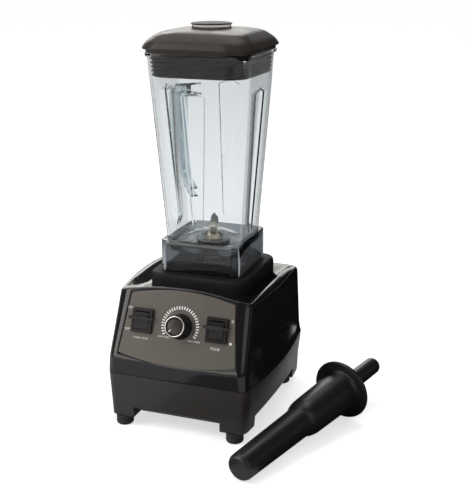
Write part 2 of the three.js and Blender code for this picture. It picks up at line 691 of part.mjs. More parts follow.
function cableGland() {
  const wall = REAR_Y - 3 * clamp01((SEAM - GLAND_UP - 10) / (SEAM - LEG_FOOT));
  const body = turned([[4, -9], [8.4, -9], [9.2, -6], [6.7, -3.6], [6.7, GAP], [10, GAP],
    [10, 3.5], [6.4, 9], [6.4, 13], [4, 13]], 12);
  const turn = new THREE.Matrix4().makeRotationX(-Math.PI / 2);
  return moved(placed(body, turn), GLAND_X, wall, up(GLAND_UP));
}

// ---------------------------------------------------------------- jar
/** Ring of the jar wall at a height, with a tapered flute in each of the four faces. */
function jarRing(height, inset, lip = 0, dip = 0) {
  const t = clamp01((height - JAR_BOTTOM) / (JAR_TOP - JAR_BOTTOM));
  const half = lerp(JAR_HALF_LOW, JAR_HALF_TOP, t) - inset;
  const corner = lerp(JAR_CORNER_LOW, JAR_CORNER_TOP, t) - Math.max(inset, 0);
  const down = clamp01((FLUTE_TOP - height) / (FLUTE_TOP - SKIRT_TOP - 8));
  const open = clamp01((FLUTE_TOP + FLUTE_PEAK - height) / FLUTE_PEAK);
  const foot = clamp01((height - SKIRT_TOP - 8) / 12);
  const width = Math.max(1.2, lerp(FLUTE_HALF_TOP, FLUTE_HALF_LOW, down) * open);
  const depth = FLUTE_DEPTH * open * foot;
  const slope = Math.min(2.5, width * 0.4);
  const points = [];
  for (let q = 0; q < 4; q += 1) {
    const face = [[-half + corner, 0], [-width, 0], [-width + slope, depth],
      [width - slope, depth], [width, 0], [half - corner, 0]];
    const side = face.map(([x, d]) => new THREE.Vector3(x, -half - lip + d, up(height)));
    for (let i = 1; i <= 5; i += 1) {
      const a = (i * Math.PI) / 12;
      const reach = corner + lip;
      const x = half - corner + reach * Math.sin(a);
      const y = -half + corner - reach * Math.cos(a);
      const spout = q === 0 ? Math.exp(-(((i - 3) / 1.4) ** 2)) : 0;
      const out = spout * SPOUT_OUT * dip * Math.SQRT1_2;
      side.push(new THREE.Vector3(x + out, y - out, up(height - spout * SPOUT_DIP * dip ** 2)));
    }
    const turn = new THREE.Vector3(0, 0, 1);
    points.push(...side.map((p) => p.applyAxisAngle(turn, (q * Math.PI) / 2)));
  }
  return points;
}

/** How far the spout has opened at a height, nothing below and full at the rim. */
const spoutOpen = (height) => clamp01((height - JAR_TOP + 42) / 42) ** 2;

function jar() {
  const outside = [
    jarRing(JAR_BOTTOM, 2), jarRing(JAR_BOTTOM + 2, 0), jarRing(SKIRT_TOP + 8, 0),
    jarRing(SKIRT_TOP + 20, 0), jarRing(FLUTE_TOP, 0),
    jarRing(FLUTE_TOP + FLUTE_PEAK, 0)];
  for (const h of [JAR_TOP - 22, JAR_TOP - 6]) {
    outside.push(jarRing(h, 0, 0, spoutOpen(h)));
  }
  const rim = [jarRing(JAR_TOP - 5, 0, RIM_OUT, spoutOpen(JAR_TOP - 5)),
    jarRing(JAR_TOP, 0, RIM_OUT, 1), jarRing(JAR_TOP, JAR_WALL, 0, 1)];
  const inside = [];
  inside.push(jarRing(JAR_TOP - 22, JAR_WALL, 0, spoutOpen(JAR_TOP - 22)));
  inside.push(jarRing(FLUTE_TOP + FLUTE_PEAK, JAR_WALL), jarRing(FLUTE_TOP, JAR_WALL),
    jarRing(SKIRT_TOP + 20, JAR_WALL), jarRing(SKIRT_TOP + 8, JAR_WALL),
    jarRing(JAR_FLOOR + 5, JAR_WALL), jarRing(JAR_FLOOR + 1, JAR_WALL + 2),
    jarRing(JAR_FLOOR, JAR_WALL + 6));
  const body = loft([...outside, ...rim, ...inside]);
  return cut(body, rod(NECK_R + GAP, up(JAR_BOTTOM - 5), up(JAR_FLOOR + 5)));
}

/** Solid filling the jar's outside, grown by the fitting gap. */
const jarEnvelope = () => loft([JAR_BOTTOM, SKIRT_TOP + 8, SKIRT_TOP + 20, FLUTE_TOP,
  FLUTE_TOP + FLUTE_PEAK, JAR_TOP - 6].map((h) => jarRing(h, -GAP)));

/** Grip moulding on the rear left corner, an I-section bent into a closed loop. */
function jarHandle() {
  const path = [[60, HANDLE_TOP + 1, 1.7, 1.25], [86, HANDLE_TOP, 1.6, 1.15],
    [100, HANDLE_TOP - 1, 1.1, 1], [110, HANDLE_TOP - 5, 1, 1],
    [HANDLE_REACH - 1.5, HANDLE_TOP - 13, 1, 1], [HANDLE_REACH, HANDLE_TOP - 26, 1, 1],
    [HANDLE_REACH - 2, HANDLE_TOP - 70, 0.95, 0.9],
    [HANDLE_REACH - 6, HANDLE_LOW + 48, 0.85, 0.85],
    [HANDLE_REACH - 9, HANDLE_LOW + 36, 0.8, 0.85],
    [HANDLE_REACH - 18, HANDLE_LOW + 25, 0.75, 0.9], [84, HANDLE_LOW + 13, 0.65, 1],
    [50, HANDLE_LOW, 0.55, 1.05]];
  const w = HANDLE_W / 2;
  const t = HANDLE_T / 2;
  const web = 2;
  const section = [[-w, -t], [w, -t], [w, -t + 2], [web, -t + 2.8], [web, t - 2.8],
    [w, t - 2], [w, t], [-w, t], [-w, t - 2], [-web, t - 2.8], [-web, -t + 2.8],
    [-w, -t + 2]];
  const rings = path.map(([reach, height, wide, deep], i) => {
    const before = path[Math.max(i - 1, 0)];
    const after = path[Math.min(i + 1, path.length - 1)];
    const along = new THREE.Vector2(after[0] - before[0], after[1] - before[1]).normalize();
    return section.map(([a, b]) => new THREE.Vector3(
      reach - along.y * b * deep, a * wide, up(height) + along.x * b * deep));
  });
  const corners = [];
  const index = [];
  const n = section.length;
  for (const p of rings.flat()) corners.push(p.x, p.y, p.z);
  for (let j = 0; j < rings.length - 1; j += 1) {
    for (let i = 0; i < n; i += 1) {
      const k = (i + 1) % n;
      index.push(j * n + i, j * n + k, (j + 1) * n + k);
      index.push(j * n + i, (j + 1) * n + k, (j + 1) * n + i);
    }
  }
  const flat = section.map(([a, b]) => new THREE.Vector2(a, b));
  const last = (rings.length - 1) * n;
  for (const [a, b, c] of THREE.ShapeUtils.triangulateShape(flat, [])) {
    index.push(a, c, b, last + a, last + b, last + c);
  }
  const g = new THREE.BufferGeometry();
  g.setAttribute('position', new THREE.Float32BufferAttribute(corners, 3));
  g.setIndex(index);
  const turn = THREE.MathUtils.degToRad(135);
  return cut(spun(solid(g), turn), jarEnvelope());
}

/** Square skirt that carries the jar, keys over the pad and hides the drive. */
function jarSkirt() {
  const square = (half, chamfer) => {
    const s = new THREE.Shape();
    const c = half - chamfer;
    s.setFromPoints([[half, -c], [half, c], [c, half], [-c, half], [-half, c], [-half, -c],
      [-c, -half], [c, -half]].map(([x, y]) => new THREE.Vector2(x, y)));
    return s;
  };
  const low = up(PAD_TOP + GAP);
  const ledge = up(JAR_BOTTOM - GAP);
  const body = prism(square(SKIRT_HALF, SKIRT_CHAMFER), low, up(SKIRT_TOP));
  const hollow = prism(square(SKIRT_HALF - SKIRT_WALL, SKIRT_CHAMFER - 1), low - 1, ledge - 3);
  const seat = loft([JAR_BOTTOM - GAP, SKIRT_TOP + 1].map((h) => jarRing(h, -GAP)));
  const opening = rod(33, ledge - 6, ledge + 2);
  return cut(body, hollow, seat, opening);
}

// ---------------------------------------------------------------- lid and cap
const LID_ANGLES = [0, 22, 34, 45, 56, 68];

/** Distance from the axis to a rounded square in a direction. */
function squareReach(angle, half, corner) {
  const a = Math.abs((((angle + Math.PI / 4) % (Math.PI / 2)) + Math.PI / 2) % (Math.PI / 2)
    - Math.PI / 4);
  const c = half - corner;
  if (half * Math.tan(a) <= c) return half / Math.cos(a);
  const b = c * (Math.cos(a) + Math.sin(a));
  return b + Math.sqrt(Math.max(0, b * b - 2 * c * c + corner * corner));
}

function lidRing(half, corner, height) {
  const ring = [];
  for (let q = 0; q < 4; q += 1) {
    for (const degrees of LID_ANGLES) {
      const a = THREE.MathUtils.degToRad(degrees + q * 90);
      const d = squareReach(a, half, Math.min(corner, half));
      ring.push(new THREE.Vector3(d * Math.cos(a), d * Math.sin(a), up(height)));
    }
  }
  return ring;
}

/** Half width of the jar's inside at a height. */
const jarInside = (height) => lerp(JAR_HALF_LOW, JAR_HALF_TOP,
  (height - JAR_BOTTOM) / (JAR_TOP - JAR_BOTTOM)) - JAR_WALL;

function lid() {
  const seat = JAR_TOP + GAP;
  const bore = CAP_NECK_R + 3 * GAP;
  const corner = JAR_CORNER_TOP - JAR_WALL;
  const rings = [lidRing(jarInside(BAND_LOW) - 5, corner - 3, BAND_LOW)];
  rings.push(lidRing(jarInside(BAND_LOW) - 2, corner, BAND_LOW));
  const pitch = (seat - BAND_LOW - 5) / BAND_RIBS;
  for (let i = 0; i < BAND_RIBS; i += 1) {
    const h = BAND_LOW + 1.5 + i * pitch;
    rings.push(lidRing(jarInside(h) - GAP - 0.2, corner, h));
    rings.push(lidRing(jarInside(h) - 2.6, corner, h + pitch * 0.55));
  }
  rings.push(lidRing(jarInside(JAR_TOP) - 0.6, corner, seat));
  rings.push(lidRing(JAR_HALF_TOP + 1, LID_CORNER, seat));
  rings.push(lidRing(JAR_HALF_TOP + 1.6, LID_CORNER, LID_EDGE));
  rings.push(lidRing(LID_HALF - 0.8, LID_CORNER, LID_EDGE));
  rings.push(lidRing(LID_HALF, LID_CORNER, LID_EDGE + 2));
  rings.push(lidRing(LID_HALF - 1.2, LID_CORNER, LID_EDGE + 4.5));
  rings.push(lidRing(LID_HALF - 7.5, LID_CORNER, LID_CROWN - 11.3));
  rings.push(lidRing(LID_HALF - 15, LID_CORNER, LID_CROWN - 5.2));
  rings.push(lidRing(LID_HALF - 25, LID_CORNER, LID_CROWN - 2.2));
  rings.push(lidRing(bore + 7, bore + 7, LID_CROWN));
  rings.push(lidRing(bore, bore, LID_CROWN));
  rings.push(lidRing(bore, bore, LID_CROWN - 16));
  rings.push(lidRing(bore + 3, bore + 3, LID_CROWN - 16));
  rings.push(lidRing(bore + 3.4, bore + 3.4, LID_CROWN - 4));
  rings.push(lidRing(LID_HALF - 19, LID_CORNER, LID_CROWN - 8));
  rings.push(lidRing(jarInside(JAR_TOP) - 5, corner - 3, LID_EDGE + 1));
  return loft(rings, true);
}

/** Clear measuring cap: a cup whose neck plugs the lid, with two turn-lock lugs. */
function capBody() {
  const low = LID_CROWN - 24;
  const flange = LID_CROWN + GAP;
  const top = CAP_TOP - CAP_DISC - GAP;
  const cup = turned([[0, up(top)], [CAP_R - 1, up(top)], [CAP_R - 1.6, up(flange)], [CAP_NECK_R, up(flange)], [CAP_NECK_R - 1, up(low)],
    [CAP_NECK_R - 3.2, up(low)], [CAP_NECK_R - 2.6, up(top - 2.4)], [0, up(top - 2.4)]], 24);
  return cup;
}

function capDisc() {
  const low = CAP_TOP - CAP_DISC;
  return turned([[0, up(low)], [CAP_R, up(low)], [CAP_R, up(CAP_TOP - 0.9)],
    [CAP_R - 3, up(CAP_TOP)], [0, up(CAP_TOP)]], 24);
}

// ---------------------------------------------------------------- blade unit
const BLADE_BEARINGS = [JAR_BOTTOM - 12, BLADE_PLANE - 13];

function bladeGasket() {
  return tube(NECK_R + 1, HUB_R + 9, up(JAR_FLOOR + GAP), up(JAR_FLOOR + 1.8));
}

/** Bearing housing: flange on the jar floor, threaded neck below, bored for the bearings. */
function bladeHousing() {
  const flange = JAR_FLOOR + 1.8 + GAP;
  const sleeve = JAR_BOTTOM - 15;
  const thread = [];
  for (let i = 0; i < 3; i += 1) {
    const turn = JAR_BOTTOM - 13 + i * 3;
    thread.push([NECK_R - 0.8, up(turn)], [NECK_R, up(turn + 1)]);
  }
  const body = turned([[BLADE_SHAFT_R + 1, up(BLADE_PLANE - 2.5)],
    [HUB_R - 4, up(BLADE_PLANE - 2)],
    [HUB_R - 1, up(BLADE_PLANE - 5)], [HUB_R, up(flange + 2.6)], [HUB_R + 10, up(flange + 1.6)],
    [HUB_R + 10, up(flange)], [NECK_R, up(flange)], [NECK_R, up(JAR_BOTTOM)],
    ...thread.reverse(), [NECK_R - 1, up(sleeve)],
    [BLADE_BEARING_R + GAP, up(sleeve)], [BLADE_BEARING_R + GAP, up(BLADE_PLANE - 4.7)],
    [BLADE_SHAFT_R + 1, up(BLADE_PLANE - 4.7)]], 16);
  return body;
}

const bladeBearing = (low) => tube(BLADE_SHAFT_R + GAP, BLADE_BEARING_R, up(low), up(low + 7), 14);

function retainingNut() {
  const top = JAR_BOTTOM - GAP;
  const hex = rod(26, up(top - 7), up(top), 6);
  const washer = rod(28, up(top - 2.4), up(top));
  return cut(union(hex, washer), rod(NECK_R + GAP, up(top - 8), up(top + 1)));
}

function bladeShaft() {
  const low = STUD_TOP + 1 + GAP;
  return turned([[0, up(low)], [BLADE_SHAFT_R - 0.6, up(low)], [BLADE_SHAFT_R, up(low + 1)],
    [BLADE_SHAFT_R, up(BLADE_PLANE - 1)], [BLADE_SHAFT_R - 1, up(BLADE_PLANE - 1)],
    [BLADE_SHAFT_R - 1, up(BLADE_PLANE + 6.4)], [0, up(BLADE_PLANE + 6.4)]], 16);
}

/** Pair of blades stamped in one strip, wings bent by the given angles. */
function bladePair(low, bends, turn, reach) {
  const half = [];
  const flat = 11;
  const wing = (bend, side) => {
    const s = new THREE.Shape();
    s.moveTo(0, -6.5);
    s.lineTo(reach - flat - 8, -5);
    s.lineTo(reach - flat, 1);
    s.lineTo(reach - flat - 6, 4.5);
    s.lineTo(0, 6.5);
    const m = new THREE.Matrix4().makeTranslation(flat, 0, 0)
      .multiply(new THREE.Matrix4().makeRotationY(-bend));
    const piece = placed(prism(s, 0, 1.6, 2), m);
    return spun(piece, side);
  };
  half.push(wing(bends[0], 0), wing(bends[1], Math.PI));
  const strip = box(-flat - 0.5, flat + 0.5, -6.5, 6.5, 0, 1.6);
  const body = cut(union(strip, ...half), rod(BLADE_SHAFT_R - 1 + GAP, -4, 6, 16));
  return moved(spun(body, turn), 0, 0, up(low));
}

function bladeNut() {
  const low = BLADE_PLANE + 3.8;
  const cap = turned([[0, up(low)], [5.6, up(low)], [5.6, up(low + 3.4)], [4.2, up(low + 5.4)],
    [0, up(low + 6)]], 6);
  return cut(cap, rod(BLADE_SHAFT_R - 1 + GAP, up(low - 1), up(BLADE_PLANE + 6.4 + GAP), 16));
}

/** Six-lobed outline shared by the drive stud and its socket. */
function lobes(r, depth) {
  const s = new THREE.Shape();
  const points = [];
  for (let i = 0; i < 18; i += 1) {
    const a = (i * Math.PI) / 9;
    const d = r - depth * (0.5 - 0.5 * Math.cos(6 * a));
    points.push(new THREE.Vector2(d * Math.cos(a), d * Math.sin(a)));
  }
  s.setFromPoints(points);
  return s;
}


/** Coupling fixed on the blade shaft; drops over the stud when the jar is set down. */
function driveSocket() {
  const body = turned([[0, up(STUD_TOP - 13.5)], [12, up(STUD_TOP - 13.5)], [12, up(STUD_TOP)],
    [9.5, up(STUD_TOP + 5.8)], [0, up(STUD_TOP + 5.8)]], 16);
  const bore = prism(lobes(8.2 + 0.5, 1.4), up(STUD_TOP - 15), up(STUD_TOP + 1), 2);
  return cut(body, bore, rod(BLADE_SHAFT_R + GAP, up(STUD_TOP - 1), up(STUD_TOP + 10), 16));
}

/** Splined stud screwed on the motor shaft. */
function driveStud() {
  const collar = rod(14, up(STUD_TOP - 24), up(STUD_TOP - 20), 16);
  const barrel = rod(8.2, up(STUD_TOP - 21), up(STUD_TOP - 14), 16);
  const spline = prism(lobes(8.2, 1.4), up(STUD_TOP - 15), up(STUD_TOP), 2);
  return cut(union(collar, barrel, spline), rod(MOTOR_SHAFT_R + GAP, up(STUD_TOP - 30), up(STUD_TOP - 10), 16));
}

// ---------------------------------------------------------------- motor
function statorCore() {
  const outer = roundedRect(2 * STATOR_HALF, 2 * STATOR_HALF, 14);
  const body = prism(outer, up(STACK_LOW), up(STACK_TOP), 4);
  const bore = rod(ROTOR_R + 0.8, up(STACK_LOW - 1), up(STACK_TOP + 1), 28);
  const slots = [];
  for (const sx of [-1, 1]) {
    for (const sy of [-1, 1]) {
      const xs = [sx * 15, sx * 33].sort((a, b) => a - b);
      const ys = [sy * 16, sy * 34].sort((a, b) => a - b);
      slots.push(box(xs[0], xs[1], ys[0], ys[1], up(STACK_LOW - 1), up(STACK_TOP + 1)));
    }
  }
  return cut(body, bore, ...slots);
}

/** Field coil wound round one pole: a rounded frame standing in the stator's slots. */
function fieldCoil(side) {
  const height = STACK_TOP - STACK_LOW + 18;
  const loop = prism(roundedRect(66, height, 12), 0, 5, 3);
  const hole = prism(roundedRect(33.5, STACK_TOP - STACK_LOW + 2, 1), -1, 6, 1);
  const stand = new THREE.Matrix4().makeRotationZ(Math.PI / 2)
    .multiply(new THREE.Matrix4().makeRotationX(Math.PI / 2));
  const frame = placed(cut(loop, hole), stand);
  return moved(frame, side > 0 ? 27 : -32, 0, up((STACK_LOW + STACK_TOP) / 2));
}

const SLOTS = 8;

function rotorCore() {
  const body = tube(MOTOR_SHAFT_R + GAP, ROTOR_R, up(STACK_LOW), up(STACK_TOP), 16);
  const slot = box(ROTOR_R - 9, ROTOR_R + 2, -2, 2, up(STACK_LOW - 1), up(STACK_TOP + 1));
  return cut(body, ...around(slot, SLOTS));
}

function rotorWinding() {
  const bar = box(ROTOR_R - 9 + GAP, ROTOR_R - 1, -1.7, 1.7, up(STACK_LOW - 3), up(STACK_TOP + 3));
  const low = turned([[9, up(STACK_LOW - 9)], [ROTOR_R - 4, up(STACK_LOW - 8)],
    [ROTOR_R - 1, up(STACK_LOW - 4)], [ROTOR_R - 1, up(STACK_LOW - GAP)],
    [9, up(STACK_LOW - GAP)]], 16);
  const high = turned([[9, up(STACK_TOP + GAP)], [ROTOR_R - 1, up(STACK_TOP + GAP)],
    [ROTOR_R - 1, up(STACK_TOP + 4)], [ROTOR_R - 4, up(STACK_TOP + 8)],
    [9, up(STACK_TOP + 9)]], 16);
  return union(low, high, ...around(bar, SLOTS));
}

const BEARING_LOW = 50;
const BEARING_HIGH = 147;
const COMMUTATOR_LOW = 62;
const COMMUTATOR_R = 13;

function commutator() {
  const body = tube(MOTOR_SHAFT_R + GAP, COMMUTATOR_R, up(COMMUTATOR_LOW),
    up(COMMUTATOR_LOW + 13), 16);
  const mica = box(COMMUTATOR_R - 1.2, COMMUTATOR_R + 1, -0.35, 0.35, up(COMMUTATOR_LOW - 1),
    up(COMMUTATOR_LOW + 11));
  return cut(body, ...around(mica, SLOTS, 0.08));
}

function motorShaft() {
  return turned([[0, up(34)], [MOTOR_SHAFT_R - 0.8, up(34)], [MOTOR_SHAFT_R, up(35)],
    [MOTOR_SHAFT_R, up(STUD_TOP - 12)], [0, up(STUD_TOP - 12)]], 16);
}

const motorBearing = (low) => tube(MOTOR_SHAFT_R + GAP, BEARING_R, up(low), up(low + BEARING_T), 14);

const COLUMN_SPOTS = [[-1, -1], [1, -1], [-1, 1], [1, 1]].map(([sx, sy]) => [sx * 37, sy * 37]);

/** Lower bracket: bearing cup, brush shelf, cross arms on the mounts, columns to the stator. */
function lowerFrame() {
  const foot = MOUNT_LOW + MOUNT_T + GAP;
  const top = BEARING_LOW + BEARING_T + 3;
  const cup = rod(18, up(BEARING_LOW - 1), up(top), 14);
  const shelf = box(-7, 7, -40, 40, up(top - 4), up(top));
  const arms = [1, -1].map((s) =>
    spun(box(-72, 72, -6, 6, up(foot), up(foot + 5)), (s * Math.PI) / 4));
  const columns = COLUMN_SPOTS.map(([x, y]) =>
    moved(rod(5, up(foot + 2), up(STACK_LOW - GAP), 8), x, y, 0));
  const seat = rod(BEARING_R + GAP, up(30), up(BEARING_LOW + BEARING_T + GAP), 14);
  const pass = rod(MOTOR_SHAFT_R + 2, up(30), up(80), 12);
  return cut(union(cup, shelf, ...arms, ...columns), seat, pass);
}

/** Upper bracket: plate on four columns with the top bearing cup. */
function upperFrame() {
  const low = STACK_TOP + 12;
  const high = BEARING_HIGH + BEARING_T + 1;
  const side = 2 * STATOR_HALF - 2;
  const plate = prism(roundedRect(side, side, 14), up(low), up(low + 3), 3);
  const cup = rod(18, up(low), up(high), 14);
  const columns = COLUMN_SPOTS.map(([x, y]) =>
    moved(rod(5, up(STACK_TOP + GAP), up(low + 1), 8), x, y, 0));
  const seat = rod(BEARING_R + GAP, up(BEARING_HIGH - GAP), up(high + 1), 14);
  const pass = rod(MOTOR_SHAFT_R + 2, up(low - 5), up(high), 12);
  const windows = around(box(22, 38, -9, 9, up(low - 2), up(low + 6)), 4);
  return cut(union(plate, cup, ...columns), seat, pass, ...windows);
}

/** Rubber grommet between a pan post and a motor arm. */
function motorMount() {
  return turned([[0, up(MOUNT_LOW)], [9, up(MOUNT_LOW)], [9, up(MOUNT_LOW + 2.5)],
    [6.5, up(MOUNT_LOW + 4)], [9, up(MOUNT_LOW + 5.5)], [9, up(MOUNT_LOW + MOUNT_T)],
    [0, up(MOUNT_LOW + MOUNT_T)]], 10);
}

function brushHolder(side) {
  const z = up(COMMUTATOR_LOW + 6);
  const tunnel = box(-6, 6, COMMUTATOR_R + 3, COMMUTATOR_R + 25, z - 6 + GAP, z + 6);
  const hole = box(-3.6, 3.6, COMMUTATOR_R - 2, COMMUTATOR_R + 22, z - 4.6, z + 4.6);
  return spun(cut(tunnel, hole), side > 0 ? 0 : Math.PI);
}

function brush(side) {
  const z = up(COMMUTATOR_LOW + 6);
  const block = box(-3.3, 3.3, COMMUTATOR_R + 0.4, COMMUTATOR_R + 21, z - 4.3, z + 4.3);
  return spun(block, side > 0 ? 0 : Math.PI);
}

/** Radial cooling fan under the motor. */
function coolingFan() {
  const hub = tube(MOTOR_SHAFT_R + GAP, 11, up(36), up(48), 14);
  const disc = tube(MOTOR_SHAFT_R + GAP, FAN_R, up(45), up(47), 16);
  const vane = box(9, FAN_R - 1, -0.8, 0.8, up(35), up(46));
  return union(hub, disc, ...around(vane, 7));
}

// ---------------------------------------------------------------- tamper
function tamper() {
  const body = turned([[0, 0], [11, 0], [TAMPER_TIP_R - 1.5, 2.5], [TAMPER_TIP_R, 7],
    [19.7, TAMPER_ROD], [22.4, TAMPER_ROD + 7], [24.3, TAMPER_ROD + 15],
    [25, TAMPER_ROD + 24], [25.8, TAMPER_STOP - 32], [26.2, TAMPER_STOP - 7],
    [29, TAMPER_STOP - 3], [TAMPER_STOP_R - 1, TAMPER_STOP - 2],
    [TAMPER_STOP_R, TAMPER_STOP], [TAMPER_STOP_R - 1, TAMPER_STOP + 2],
    [15, TAMPER_STOP + 4.5], [12, TAMPER_STOP + 8], [11.3, TAMPER_LENGTH - 8],
    [9.5, TAMPER_LENGTH - 2], [6, TAMPER_LENGTH], [0, TAMPER_LENGTH]], 20);
  const rise = Math.asin((TAMPER_STOP_R - TAMPER_TIP_R) / (TAMPER_STOP - 7));
  const lay = new THREE.Matrix4().makeRotationY(Math.PI / 2 - rise);
  const aim = new THREE.Matrix4().makeRotationZ(TAMPER_TURN);
  const flat = placed(placed(body, lay), aim);
  const low = flat.boundingBox().min[2];
  return moved(flat, TAMPER_TIP[0], TAMPER_TIP[1], up(0) - low);
}

// ---------------------------------------------------------------- the blender
add('base_pan', basePan(), finish.charcoal);
add('upper_housing', upperHousing(), finish.glossBlack);
add('control_panel', controlPanel(), finish.panelGrey);
add('centering_pad', centeringPad(), finish.rubber);
FOOT_SPOTS.forEach(([x, y], i) => {
  add(`foot_${['front_left', 'front_right', 'rear_left', 'rear_right'][i]}`,
    moved(foot(), x, y, 0), finish.rubber);
});
add('start_switch_housing', switchHousing(-SWITCH_X), finish.black);
add('start_rocker', rocker(-SWITCH_X), finish.black);
add('pulse_switch_housing', switchHousing(SWITCH_X), finish.black);
add('pulse_rocker', rocker(SWITCH_X), finish.black);
add('speed_knob', speedKnob(), finish.black);
add('knob_ring', knobRing(), finish.chrome);
add('speed_control_body', potBody(), finish.steel);
add('speed_control_shaft', potShaft(), finish.steel);
add('speed_board', speedBoard(), finish.board);
add('cable_gland', cableGland(), finish.rubber);

add('motor_shaft', motorShaft(), finish.steel);
add('rotor_core', rotorCore(), finish.lamination);
add('rotor_winding', rotorWinding(), finish.copper);
add('commutator', commutator(), finish.copper);
add('stator_core', statorCore(), finish.lamination);
add('field_coil_left', fieldCoil(-1), finish.copper);
add('field_coil_right', fieldCoil(1), finish.copper);
add('motor_bearing_lower', motorBearing(BEARING_LOW), finish.steel);
add('motor_bearing_upper', motorBearing(BEARING_HIGH), finish.steel);
add('motor_frame_lower', lowerFrame(), finish.alloy);
add('motor_frame_upper', upperFrame(), finish.alloy);
add('brush_holder_rear', brushHolder(1), finish.nylon);
add('brush_holder_front', brushHolder(-1), finish.nylon);
add('brush_rear', brush(1), finish.carbon);
add('brush_front', brush(-1), finish.carbon);
add('cooling_fan', coolingFan(), finish.nylon);
MOUNT_SPOTS.forEach(([x, y], i) => {
  add(`motor_mount_${i + 1}`, moved(motorMount(), x, y, 0), finish.rubber);
});
add('drive_stud', driveStud(), finish.steel);

add('jar', jar(), finish.clear);
add('jar_handle', jarHandle(), finish.clear);
add('jar_skirt', jarSkirt(), finish.smoke);
add('lid', lid(), finish.black);
add('cap_body', capBody(), finish.smoke);
add('cap_disc', capDisc(), finish.black);

add('blade_gasket', bladeGasket(), finish.rubber);
add('blade_housing', bladeHousing(), finish.bronze);
add('retaining_nut', retainingNut(), finish.alloy);
add('blade_bearing_lower', bladeBearing(BLADE_BEARINGS[0]), finish.steel);
add('blade_bearing_upper', bladeBearing(BLADE_BEARINGS[1]), finish.steel);
add('blade_shaft', bladeShaft(), finish.steel);
add('lower_blade', bladePair(BLADE_PLANE, [-0.3, -0.3], 0.3, BLADE_REACH), finish.steel);
add('upper_blade', bladePair(BLADE_PLANE + 1.9, [0.62, 0.5], 1.87, BLADE_REACH - 3), finish.steel);
add('blade_nut', bladeNut(), finish.steel);
add('drive_socket', driveSocket(), finish.steel);

add('tamper', tamper(), finish.black);

export default blender;
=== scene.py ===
"""Countertop blender: a glossy motor base, a square clear jar with its lid, and a tamper.

Every shape is a surface worked out with numpy: rings of points stacked into a grid, in
millimetres, with heights counted from the worktop. The solids of the frame carry the parts
that are already exact, with their edges softened.
"""
import math

import bmesh
import bpy
import numpy as np
from bpy.props import FloatProperty, FloatVectorProperty, IntProperty, PointerProperty
from mathutils import Matrix, Vector


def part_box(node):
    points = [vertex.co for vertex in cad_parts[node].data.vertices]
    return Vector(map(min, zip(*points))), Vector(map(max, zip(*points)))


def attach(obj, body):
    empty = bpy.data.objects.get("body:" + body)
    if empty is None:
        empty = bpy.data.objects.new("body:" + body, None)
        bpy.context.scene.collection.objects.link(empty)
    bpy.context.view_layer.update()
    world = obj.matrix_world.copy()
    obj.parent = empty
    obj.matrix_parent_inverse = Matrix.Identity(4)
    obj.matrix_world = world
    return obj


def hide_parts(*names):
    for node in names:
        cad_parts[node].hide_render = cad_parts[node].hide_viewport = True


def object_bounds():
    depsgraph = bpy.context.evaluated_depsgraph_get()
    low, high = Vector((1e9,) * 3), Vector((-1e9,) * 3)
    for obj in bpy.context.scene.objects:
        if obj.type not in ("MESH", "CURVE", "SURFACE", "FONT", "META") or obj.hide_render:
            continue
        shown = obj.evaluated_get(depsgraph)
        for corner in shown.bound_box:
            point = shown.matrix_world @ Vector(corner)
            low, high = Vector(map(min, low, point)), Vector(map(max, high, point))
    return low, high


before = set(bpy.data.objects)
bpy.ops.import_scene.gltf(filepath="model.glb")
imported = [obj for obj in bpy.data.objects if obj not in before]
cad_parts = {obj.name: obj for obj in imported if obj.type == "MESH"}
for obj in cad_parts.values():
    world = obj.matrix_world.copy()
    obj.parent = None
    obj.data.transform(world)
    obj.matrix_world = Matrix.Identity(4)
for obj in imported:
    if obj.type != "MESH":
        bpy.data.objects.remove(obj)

bl_info = {
    "name": "Countertop blender",
    "version": (1, 0, 0),
    "blender": (4, 5, 0),
    "location": "View3D > Sidebar > Blender",
    "description": "Builds a countertop blender with its jar, lid and tamper",
    "category": "Add Mesh",
}

CAD_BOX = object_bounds()
MM = 0.001
TAU = 2 * math.pi


def span(node, axis):
    """Lowest and highest coordinate of a solid along an axis, in millimetres."""
    low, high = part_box(node)
    return low[axis] / MM, high[axis] / MM


# ------------------------------------------------------------------ sizes, millimetres
WORKTOP = CAD_BOX[0].z / MM                      # worktop below the part's origin
GAP = 0.3
FRONT_Y, REAR_Y = -138.0, 103.0
CORNER_X, SIDE_BULGE = 100.0, 9.0
SEAM, LEG_FOOT = 73.0, 13.5
WALL = 3.0
DECK, DECK_WALL, PAD_POCKET = 171.5, 5.0, 1.2
RIM_LOW, RIM_ARC, RIM_SIDE, RIM_CORNER, RIM_FALL = 179.0, 9.0, 2.5, 5.0, 9.0
RIM_ARC_RUN, RIM_CORNER_RUN = 50.0, 18.0         # how far the arch and its ends reach
RIM_FALL_START, RIM_FALL_RUN = 65.0, 58.0        # fall, counted forward from the back
LEAN = math.radians(20.3)
PANEL_FOOT, PANEL_ARC, PANEL_HEIGHT = 94.0, 8.5, 80.0
PANEL_HALF_TOP, PANEL_HALF_LOW, PANEL_THICK = 71.0, 80.5, 2.6
PANEL_RISE = 8.0                                 # panel's lower edge above the face's bend
RECESS = -(PANEL_THICK + GAP + 0.7)              # floor of the panel's recess
PANEL_FACE = RECESS + GAP + PANEL_THICK
SWITCH_X, SWITCH_UP = 51.4, 45.0
KNOB_X, KNOB_UP, KNOB_R, KNOB_H = 1.0, 43.4, 13.3, 18.5
PAD_HALF, PAD_CORNER, PAD_TOP = 68.1, 18.9, 191.4
SKIRT_HALF, SKIRT_WALL, SKIRT_TOP, SKIRT_CHAMFER = 55.1, 3.2, 233.8, 7.0
JAR_BOTTOM, JAR_FLOOR, JAR_TOP = 219.0, 224.0, 477.0
JAR_HALF_LOW, JAR_HALF_TOP = 51.0, 69.6
JAR_CORNER_LOW, JAR_CORNER_TOP = 22.0, 29.0
JAR_WALL, RIM_OUT = 2.4, 3.0
